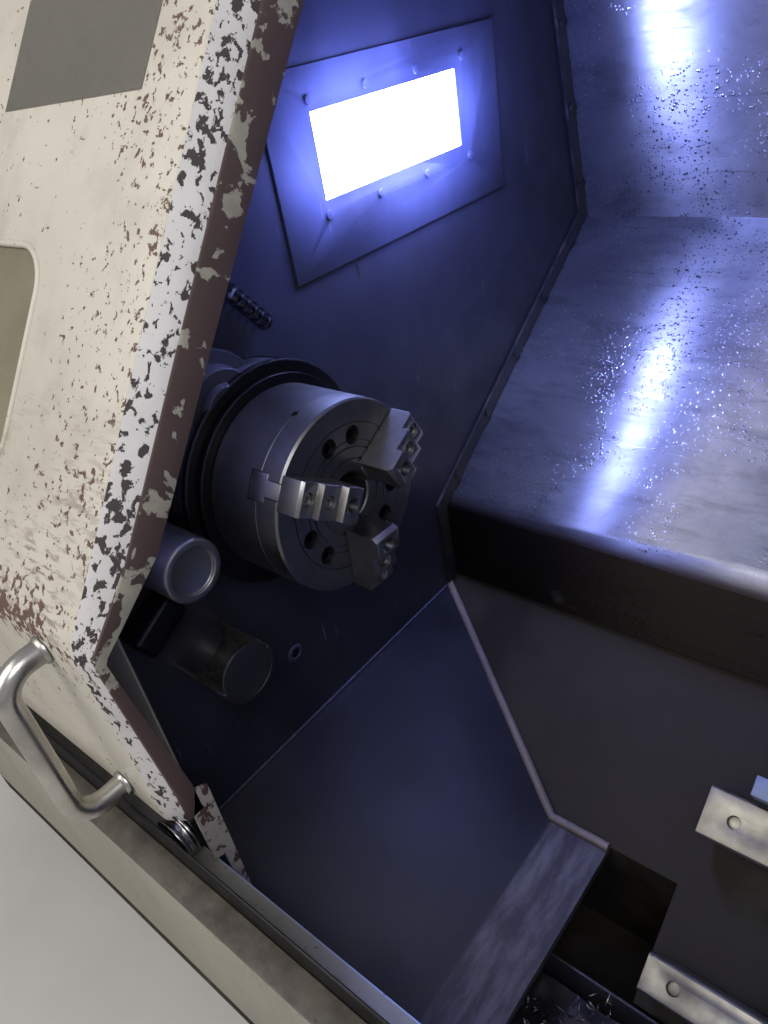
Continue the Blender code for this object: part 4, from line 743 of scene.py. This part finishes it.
def makeDoorDetails():
    outline = [machinePoint(door["edge"], y, z) for y, z in door["tail"]]
    tail = prismMesh(outline, Vector((-door["sheet"], 0, 0)))
    keepPiece("doorTail", tail, ["tailPaint"], "door")
    # roller brackets, each a foot, an arm and a pin
    rollerZ = door["rollerHeight"]
    toMachine = Matrix.Translation(lathe["chuckFace"])
    pin = turnedMesh([(0, 0), (0.0050, 0), (0.0050, 0.0235), (0.0038, 0.0245), (0, 0.0245)], 20)
    blocks = []
    leading, trailing = door["rollerIn"]
    for x, side in ((door["edge"] - leading, 1), (door["edge"] - door["width"] + trailing, -1)):
        foot = boxMesh((x - 0.022, -0.2815, rollerZ - 0.015), (x + 0.022, -0.2690, rollerZ + 0.030))
        arm = boxMesh((min(x, x + side * 0.040), -0.2755, rollerZ + 0.022),
                      (max(x, x + side * 0.040), -0.2620, rollerZ + 0.052))
        pinPlace = Matrix.Translation(machinePoint(x, -0.2760, rollerZ))
        blocks += [(foot, toMachine), (arm, toMachine), (pin, pinPlace @ Matrix.Rotation(math.pi / 2, 4, "X"))]
    brackets = keepPiece("rollerBrackets", joinMeshes(blocks), ["darkSteel"], None)
    bevelEdges(brackets, 0.0009)
    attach(brackets, "door")
    plate = door["plate"]
    spots = [(plate["left"], plate["low"]), (plate["right"] - 0.004, plate["low"] + 0.004),
             (plate["right"], plate["high"]), (plate["left"] + 0.006, plate["high"])]
    bm = bmesh.new()
    bm.faces.new([bm.verts.new(doorSlopePoint(x, s, 0.0007)) for x, s in spots])
    bmesh.ops.solidify(bm, geom=bm.faces[:], thickness=0.0006)
    bmesh.ops.recalc_face_normals(bm, faces=bm.faces)
    keepPiece("bareGreyPlate", closeMesh(bm, "bareGreyPlate"), ["greyPlate"], "door")


# ---- bent tube handle, with a collar at each root
handle = {"x": -0.112, "radius": 0.0122, "top": -0.014, "low": -0.215, "out": -0.357, "bend": 0.032,
          "faceTop": -0.3095, "faceLow": -0.3030,
          "collar": ((0.0115, 0.0), (0.0150, 0.0), (0.0148, 0.0015), (0.0132, 0.0040), (0.0122, 0.0050),
                     (0.0115, 0.0050))}


def makeHandle():
    bend = handle["bend"]
    points = [(handle["faceLow"] + 0.0005, handle["low"])]
    for centreZ, start in ((handle["low"] + bend, 270), (handle["top"] - bend, 180)):
        for i in range(13):
            angle = math.radians(start - 90 * i / 12)
            points.append((handle["out"] + bend + bend * math.cos(angle), centreZ + bend * math.sin(angle)))
    points.append((handle["faceTop"], handle["top"]))
    tube = tubeMesh([machinePoint(handle["x"], y, z) for y, z in points], handle["radius"], 10)
    parts = [(tube, Matrix.Identity(4))]
    collar = turnedMesh(handle["collar"], 32)
    for y, z in ((handle["faceTop"], handle["top"]), (handle["faceLow"], handle["low"])):
        parts.append((collar, Matrix.Translation(machinePoint(handle["x"], y - 0.0003, z))
                      @ Matrix.Rotation(math.pi / 2, 4, "X")))
    piece = keepPiece("bentHandle", joinMeshes(parts), ["handleSteel"], "door", 50)
    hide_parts("door_handle")


# ---- chuck: turned body with face rings, jaw slots, counterbored screws
chuck = {"bore": 0.027, "neck": (0.018, 0.019), "tee": (0.030, 0.043), "slot": (0.024, 0.128), "line": 0.030,
         "rings": (0.0405, 0.0430, 0.0535, 0.0550, 0.0610, 0.0622, 0.0795, 0.0805), "ringDepth": 0.0018,
         "screwCircle": 0.0667, "screwHead": 0.009, "screwHeight": 0.0142, "seatDepth": 0.018,
         "hexRadius": 0.0056, "spread": 15.3, "oilHole": 0.0035}


def roundX(at, angle, reach):
    # a place on a circle round the spindle, at is the place along it
    return machinePoint(at, reach * math.cos(angle), reach * math.sin(angle))


def turnToJaw(degrees):
    # from beside the spindle at the chuck's face to the place of a jaw
    return Matrix.Translation(lathe["chuckFace"]) @ Matrix.Rotation(math.radians(degrees), 4, "X")


def slotMesh(width, low, high, degrees):
    inner, outer = chuck["slot"]
    mesh = boxMesh((low, inner, -width / 2), (high, outer, width / 2))
    mesh.transform(turnToJaw(degrees))
    return mesh


def socketHead(radius, height, hexRadius):
    piece = addObject("socketHead", turnedMesh([(0, 0), (radius, 0), (radius, height - 0.0008),
                                                (radius - 0.0008, height), (0, height)], 28))
    bm = bmesh.new()
    bmesh.ops.create_cone(bm, cap_ends=True, segments=6, radius1=hexRadius, radius2=hexRadius, depth=0.02)
    bmesh.ops.translate(bm, verts=bm.verts, vec=(0, 0, height + 0.004))
    cutAway(piece, closeMesh(bm, "hexCut"))
    shaped = piece.data
    bpy.data.objects.remove(piece, do_unlink=True)
    return shaped


def makeChuck():
    radius, length = lathe["chuckRadius"], lathe["chuckLength"]
    line, deep, bore = length - chuck["line"], length - chuck["ringDepth"], chuck["bore"]
    profile = [(bore, 0.0), (radius - 0.0012, 0.0), (radius, 0.0012), (radius, line),
               (radius - 0.0005, line + 0.0004), (radius, line + 0.0008), (radius, length - 0.0022),
               (radius - 0.0022, length)]
    rings = chuck["rings"][::-1]
    for wide, narrow in zip(rings[::2], rings[1::2]):
        profile += [(wide, length), (wide - 0.0001, deep), (narrow + 0.0001, deep), (narrow, length)]
    profile += [(bore + 0.0015, length), (bore, length - 0.0015), (bore, 0.0)]
    mesh = turnedMesh(profile, 128)
    mesh.transform(Matrix.Translation(machinePoint(-length, 0, 0)) @ alongX)
    body = keepPiece("chuckBodyFine", mesh, ["chuckSteel"], None)
    (neckWidth, neckDepth), (teeWidth, teeDepth) = chuck["neck"], chuck["tee"]
    seatRadius = chuck["screwHead"] + 0.0012
    heads = []
    for degrees in lathe["jawAngles"]:
        angle = math.radians(degrees)
        cutAway(body, slotMesh(neckWidth, -neckDepth - 0.001, 0.01, degrees))
        cutAway(body, slotMesh(teeWidth, -teeDepth, -neckDepth, degrees))
        for side in (-1, 1):
            spot = angle - math.radians(60) + side * math.radians(chuck["spread"])
            place = Matrix.Translation(roundX(-chuck["seatDepth"], spot, chuck["screwCircle"])) @ alongX
            seat = turnedMesh([(0, 0), (seatRadius, 0), (seatRadius, 0.03), (0, 0.03)], 32)
            seat.transform(place)
            cutAway(body, seat)
            heads.append((socketHead(chuck["screwHead"], chuck["screwHeight"], chuck["hexRadius"]), place))
    # oil hole on the rim
    hole = turnedMesh([(0, 0), (chuck["oilHole"], 0), (chuck["oilHole"], 0.03), (0, 0.03)], 20)
    hole.transform(turnToJaw(12) @ Matrix.Translation((-chuck["line"], 0, radius - 0.010)))
    cutAway(body, hole)
    softShade(body.data, 30)
    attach(body, "spindle")
    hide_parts("chuck_body")
    keepPiece("chuckScrews", joinMeshes(heads), ["blackSteel"], "spindle", 30)


# ---- jaws: bevelled blocks with a serrated foot and a hole in the tip
jaws = {"bevel": 0.0010, "start": 0.033, "end": 0.1045, "pitch": 0.0016, "depth": 0.0013, "width": 0.05,
        "tip": 0.045, "holeAt": 0.0472, "holeRadius": 0.0068, "holeDepth": 0.024}


def serrationMesh(degrees):
    start, end, pitch = jaws["start"], jaws["end"], jaws["pitch"]
    line = [(-0.001, start)]
    for i in range(int((end - start) / pitch)):
        line += [(0.0, start + i * pitch), (jaws["depth"], start + (i + 0.5) * pitch)]
    line += [(0.0, end), (-0.001, end)]
    mesh = prismMesh([Vector((x, r, -jaws["width"] / 2)) for x, r in line], Vector((0, 0, jaws["width"])))
    mesh.transform(turnToJaw(degrees))
    return mesh


def tipHoleMesh(degrees):
    radius, depth = jaws["holeRadius"], jaws["holeDepth"]
    mesh = turnedMesh([(0, 0), (radius, 0.0006), (radius, depth - 0.0006), (radius + 0.0014, depth + 0.0008),
                       (0, depth + 0.0008)], 36)
    # the hole's faces take the second finish, dark steel, as painted shade inside the hole
    for polygon in mesh.polygons:
        polygon.material_index = 1
    at = roundX(jaws["tip"] - depth, math.radians(degrees), jaws["holeAt"])
    mesh.transform(Matrix.Translation(at) @ alongX)
    return mesh


def makeJaws():
    for number, degrees in enumerate(lathe["jawAngles"], 1):
        jaw = refineNode(f"top_jaw_{number}", jaws["bevel"], "jawSteel", "steel", f"jaw_{number}",
                         serrationMesh(degrees))
        # dark steel for the tip holes' faces, painted shade inside the holes
        jaw.data.materials.append(finishes["darkSteel"])
        cutAway(jaw, tipHoleMesh(degrees))
        softShade(jaw.data, 40)
        refineNode(f"master_jaw_{number}", 0.0006, "jawSteel", "steel", f"jaw_{number}")


# ---- sludge and curled chips in the tank under the chip opening
swarf = {"count": 420, "seed": 7, "low": (0.10, -0.268), "high": (0.690, -0.062), "level": -0.630,
         "depth": 0.05, "cells": (70, 26)}


def heapPoint(x, y, above=0.0):
    spot = Vector((x * 9, y * 9, 0.3))
    height = swarf["level"] + 0.022 * noise.noise(spot) + 0.008 * noise.noise(spot * 5)
    return machinePoint(x, y, height + above)


def chipCurl(rng, number):
    turns, radius, length = rng.uniform(1.0, 4.5), rng.uniform(0.002, 0.009), rng.uniform(0.015, 0.075)
    width = rng.uniform(0.0008, 0.0022)
    steps = int(turns * 12)
    bm = bmesh.new()
    curl = []
    for k in range(steps + 1):
        angle = 2 * math.pi * turns * k / steps
        spread = radius * (1 + 0.3 * math.sin(k * 0.7 + number))
        low = Vector((spread * math.cos(angle), spread * math.sin(angle), length * k / steps))
        curl.append((bm.verts.new(low), bm.verts.new(low + Vector((0, 0, width)))))
    for (a, b), (c, d) in zip(curl, curl[1:]):
        bm.faces.new((a, c, d, b))
    return closeMesh(bm, "chipCurl")


def makeSwarf():
    rng = random.Random(swarf["seed"])
    across, along = swarf["cells"]
    (lowX, lowY), (highX, highY) = swarf["low"], swarf["high"]
    bm = bmesh.new()
    rows = [[bm.verts.new(heapPoint(lowX + (highX - lowX) * i / across, lowY + (highY - lowY) * j / along))
             for i in range(across + 1)] for j in range(along + 1)]
    for low, high in zip(rows, rows[1:]):
        for i in range(across):
            bm.faces.new((low[i], low[i + 1], high[i + 1], high[i]))
    heap = keepPiece("sludgeHeap", closeMesh(bm, "sludgeHeap"), ["sludge"], None)
    thick = heap.modifiers.new("depth", "SOLIDIFY")
    thick.thickness = swarf["depth"]
    thick.offset = -1
    applyModifiers(heap)
    softShade(heap.data, 60)
    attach(heap, "machine")
    parts = []
    for i in range(swarf["count"]):
        mesh = chipCurl(rng, i)
        x, y = rng.uniform(lowX + 0.04, highX - 0.04), rng.uniform(lowY + 0.03, highY - 0.03)
        at = heapPoint(x, y, rng.uniform(0.002, 0.012))
        turn = Matrix.Rotation(rng.uniform(0, 2 * math.pi), 4, "Z")
        tip = Matrix.Rotation(rng.uniform(1.2, 1.8), 4, "X")
        parts.append((mesh, Matrix.Translation(at) @ turn @ tip))
    keepPiece("chipCurls", joinMeshes(parts), ["swarfSteel"], "machine", 60)


# ---- marks and small fittings on the headstock wall
wallMarks = {
    "front": -0.150, "scratch": ((0.226, 0.199), (0.228, 0.145)), "scratchRadius": 0.0009,
    "hole": (-0.0254, -0.2825), "holeRadius": 0.0074,
    "burr": ((0.0055, -0.001), (0.0130, 0.0), (0.0125, 0.0009), (0.0105, 0.0016), (0.0085, 0.0018),
             (0.0070, 0.0010), (0.0055, -0.001)),
    "boss": (-0.040, 0.098),
    "bossProfile": ((0, 0), (0.0620, 0), (0.0620, 0.012), (0.0600, 0.015), (0.0470, 0.017), (0.0450, 0.019),
                    (0.0450, 0.030), (0.0430, 0.032), (0.0300, 0.033), (0.0290, 0.040), (0.0275, 0.042),
                    (0, 0.042)),
    "hose": ((0.018, 0.206), (0.060, 0.152)), "hoseRadius": 0.0070, "ribRadius": 0.0100, "ribs": 6,
}


def wallDisc(place, profile, steps=40):
    mesh = turnedMesh(profile, steps)
    mesh.transform(Matrix.Translation(machinePoint(wallMarks["front"], *place)) @ alongX)
    return mesh


def makeWallMarks():
    # a scored line in the paint
    (y0, z0), (y1, z1) = wallMarks["scratch"]
    points = [machinePoint(wallMarks["front"] + 0.0001, y0 + (y1 - y0) * t + 0.0012 * math.sin(9 * t),
                           z0 + (z1 - z0) * t) for t in (i / 12 for i in range(13))]
    scratch = tubeMesh(points, wallMarks["scratchRadius"], 3)
    keepPiece("wallScratch", scratch, ["brightSteel"], "machine")
    # a hole with a raised, uneven burr of paint round it
    centre = machinePoint(wallMarks["front"], *wallMarks["hole"])
    burr = wallDisc(wallMarks["hole"], wallMarks["burr"])
    for vert in burr.vertices:
        wobble = 1 + 0.12 * noise.noise(vert.co * 260)
        vert.co = Vector((vert.co.x, *(centre + (vert.co - centre) * wobble)[1:]))
    keepPiece("wallHoleBurr", burr, ["platePaint"], "machine", 60)
    # the hole is a flat black disc on the wall, painted shade for its depth
    reach = wallMarks["holeRadius"]
    holeShadeDisc = wallDisc(wallMarks["hole"], [(0, 0.0), (reach, 0.0), (reach, 0.0003), (0, 0.0003)], 28)
    keepPiece("wallHoleShade", holeShadeDisc, ["blackSteel"], "machine")


def makeWallFittings():
    # stepped cast boss behind the chuck
    boss = wallDisc(wallMarks["boss"], wallMarks["bossProfile"], 48)
    keepPiece("wallBoss", boss, ["castingEnamel"], "machine", 35)
    # ribbed hose end, wet with coolant
    start, end = (machinePoint(wallMarks["front"] + 0.011, *spot) for spot in wallMarks["hose"])
    thin, wide = wallMarks["hoseRadius"], wallMarks["ribRadius"]
    along = (end - start).length
    rib = along / wallMarks["ribs"] * 0.5
    profile = [(0.0, 0.0), (thin, 0.0)]
    for i in range(wallMarks["ribs"]):
        at = along * (i + 0.25) / wallMarks["ribs"]
        profile += [(thin, at), (wide, at + rib * 0.25), (wide, at + rib * 0.75), (thin, at + rib)]
    profile += [(thin, along), (0.0, along)]
    hose = turnedMesh(profile, 32)
    hose.transform(Matrix.Translation(start) @ (end - start).to_track_quat("Z", "Y").to_matrix().to_4x4())
    keepPiece("hoseEnd", hose, ["wetFitting"], "machine", 35)


# ---- beads along the pan's edges, against the bed and against the wall
panBead = {"points": ((-0.150, 0.3125, -0.406), (0.160, 0.0940, -0.548), (0.245, 0.0940, -0.548)),
           "radius": 0.0062, "pieces": 26, "wallX": -0.1492, "wallZ": -0.4065, "wallY": (-0.245, 0.308),
           "wallRadius": 0.0020}


def makePanBead():
    points = []
    for start, end in zip(panBead["points"], panBead["points"][1:]):
        for i in range(panBead["pieces"]):
            t = i / panBead["pieces"]
            spot = machinePoint(*[a + (b - a) * t for a, b in zip(start, end)])
            points.append(spot + Vector((0, 0, 0.0012 * noise.noise(spot * 60))))
    points.append(machinePoint(*panBead["points"][-1]))
    keepPiece("panBead", tubeMesh(points, panBead["radius"], 4), ["panBead"], "machine")
    edge = [machinePoint(panBead["wallX"], y, panBead["wallZ"]) for y in panBead["wallY"]]
    keepPiece("wallEdge", tubeMesh(edge, panBead["wallRadius"], 3), ["platePaint"], "machine")


# ---- finer copies of other nodes: bevel width, finish, slot, body
fineCopies = {
    "tailstock_way_front": (0.0012, "waySteel", "steel", "machine"),
    "tailstock_way_back": (0.0012, "waySteel", "steel", "machine"),
    "carriage_way_front": (0.0012, "waySteel", "steel", "machine"),
    "carriage_way_back": (0.0012, "waySteel", "steel", "machine"),
    "tailstock_body": (0.0030, "tailCasting", "casting", "tailstock"),
    "setter_hub": (0.0015, "jawSteel", "steel", "machine"),
    "setter_hood": (0.0006, "hoodSteel", "steel", "machine"),
    "setter_bracket": (0.0015, "blackSteel", "black_steel", "machine"),
    "light_plate": (0.0004, "platePaint", "blue_paint", "machine"),
    "nose_ring": (0.0008, "blackSteel", "black_steel", "machine"),
    "chuck_adapter_ring": (0.0008, "blackSteel", "black_steel", "spindle"),
    "turret_disc": (0.0010, "jawSteel", "steel", "turret"),
    "cross_slide": (0.0020, "castingEnamel", "casting", "cross"),
    "saddle": (0.0020, "castingEnamel", "casting", "carriage"),
    "door_roller_left": (0.0008, "brightSteel", "steel", "roller_left"),
    "door_roller_right": (0.0008, "brightSteel", "steel", "roller_right"),
    "console_housing": (0.0030, "darkPlastic", "plastic", "machine"),
    "hand_wheel": (0.0008, "darkPlastic", "plastic", "wheel"),
    "left_front_panel": (0.0008, "panelPaint", "cream_paint", "machine"),
    "right_front_panel": (0.0008, "panelPaint", "cream_paint", "machine"),
    "roof_panel": (0.0008, "panelPaint", "cream_paint", "machine"),
    "electrical_cabinet": (0.0008, "panelPaint", "cream_paint", "machine"),
    "cabinet_door": (0.0008, "panelPaint", "cream_paint", "back_door"),
    "front_sill": (0.0007, "sillPaint", "cream_paint", "machine"),
    "door_rail": (0.0006, "blackSteel", "rubber", "machine"),
    "chip_pan": (0.0005, "panPaint", "steel_sheet", "machine"),
    "way_cover": (0.0005, "wetSteel", "stainless", "carriage"),
}

makeDoorSkin()
makeDoorDetails()
makeHandle()
print("stage: door made")
makeChuck()
makeJaws()
print("stage: chuck and jaws made")
makeSwarf()
makeWallMarks()
makeWallFittings()
makePanBead()
print("stage: chips, wall marks and beads made")
for nodeName, values in fineCopies.items():
    refineNode(nodeName, *values)
print("stage: other nodes refined,", len(fineCopies))


# ---- studio: camera as in the photograph, pale floor, soft light and the machine's own lamp
studio = {
    "cameraAt": (0.3623, -0.8186, 1.3723),
    "right": (0.7623, 0.6270, -0.1606),
    "up": (-0.2494, 0.5135, 0.8210),
    "forward": (-0.5973, 0.5858, -0.5478),
    "lens": 26.86,
    "floorColour": (0.62, 0.60, 0.56),
    "worldLevel": 0.37,
    "worldColour": (0.92, 0.94, 1.0, 1),
    "key": {"at": (-0.9, -2.6, 3.0), "aim": (-0.3, -0.5, 0.9), "power": 52, "size": 2.2,
            "colour": (1.0, 0.95, 0.88)},
    "fill": {"at": (0.75, -1.15, 2.05), "aim": machinePoint(-0.1, -0.05, -0.1), "power": 9.0, "size": 0.7,
             "colour": (0.92, 0.95, 1.0)},
    "work": {"at": machinePoint(-0.12, 0.330, 0.292), "aim": machinePoint(0.5, 0.2, -0.2), "power": 9.5,
             "size": 0.16, "colour": (0.42, 0.49, 1.0)},
    "glow": {"aim": (0, 0, 0), "power": 2.7, "size": 0.03, "colour": (0.22, 0.28, 1.0)},
    "glowSpots": ((0.185, 0.285), (0.255, 0.350), (0.330, 0.235), (0.330, 0.350), (0.405, 0.235),
                  (0.475, 0.300)),
}


def placeCamera():
    camera = addObject("photoCamera", bpy.data.cameras.new("photoCamera"))
    right, up, forward = (Vector(studio[key]) for key in ("right", "up", "forward"))
    turn = Matrix((right, up, -forward)).transposed().to_4x4()
    camera.matrix_world = Matrix.Translation(studio["cameraAt"]) @ turn
    camera.data.lens = studio["lens"]
    camera.data.sensor_width = 36
    camera.data.clip_start = 0.01
    scene.camera = camera


def addLamp(name, kind, at, aim, power, size, colour):
    data = bpy.data.lights.new(name, kind)
    data.energy = power
    data.color = colour
    if kind == "AREA":
        data.size = size
    else:
        data.shadow_soft_size = size
    lamp = addObject(name, data)
    lamp.location = at
    lamp.rotation_euler = (Vector(aim) - Vector(at)).to_track_quat("-Z", "Y").to_euler()
    return lamp


def makeFloor():
    bm = bmesh.new()
    bmesh.ops.create_grid(bm, x_segments=1, y_segments=1, size=9.0)
    floor = addObject("studioFloor", closeMesh(bm, "studioFloor"))
    floor.location.z = cadBox[0][2] - 0.0005
    finish, tree, shader = startFinish("studioFloor")
    clouds = stepBetween(tree, mottle(tree, surfacePoint(tree), 6, 5), 0.3, 0.7)
    tone = blendColour(tree, clouds, studio["floorColour"], darker(studio["floorColour"], 0.93))
    feed(tree, shader, {"Base Color": tone, "Roughness": 0.7})
    floor.data.materials.append(finish)


def lightStudio():
    world = bpy.data.worlds.new("studioWorld")
    scene.world = world
    world.use_nodes = True
    background = world.node_tree.nodes["Background"]
    background.inputs["Color"].default_value = studio["worldColour"]
    background.inputs["Strength"].default_value = studio["worldLevel"]
    addLamp("softKey", "AREA", **studio["key"])
    # blue halo on the wall round the lens
    ownLamps = [addLamp(f"lensGlow{i}", "POINT", machinePoint(-0.100, y, z), **studio["glow"])
                for i, (y, z) in enumerate(studio["glowSpots"])]
    ownLamps.append(addLamp("workLight", "AREA", **studio["work"]))
    addLamp("roomFill", "AREA", **studio["fill"])
    for lamp in ownLamps:  # the lens itself makes the reflections
        lamp.visible_glossy = False
    scene.view_settings.view_transform = "Standard"


placeCamera()
makeFloor()
lightStudio()
print("stage: camera, floor and lights set")
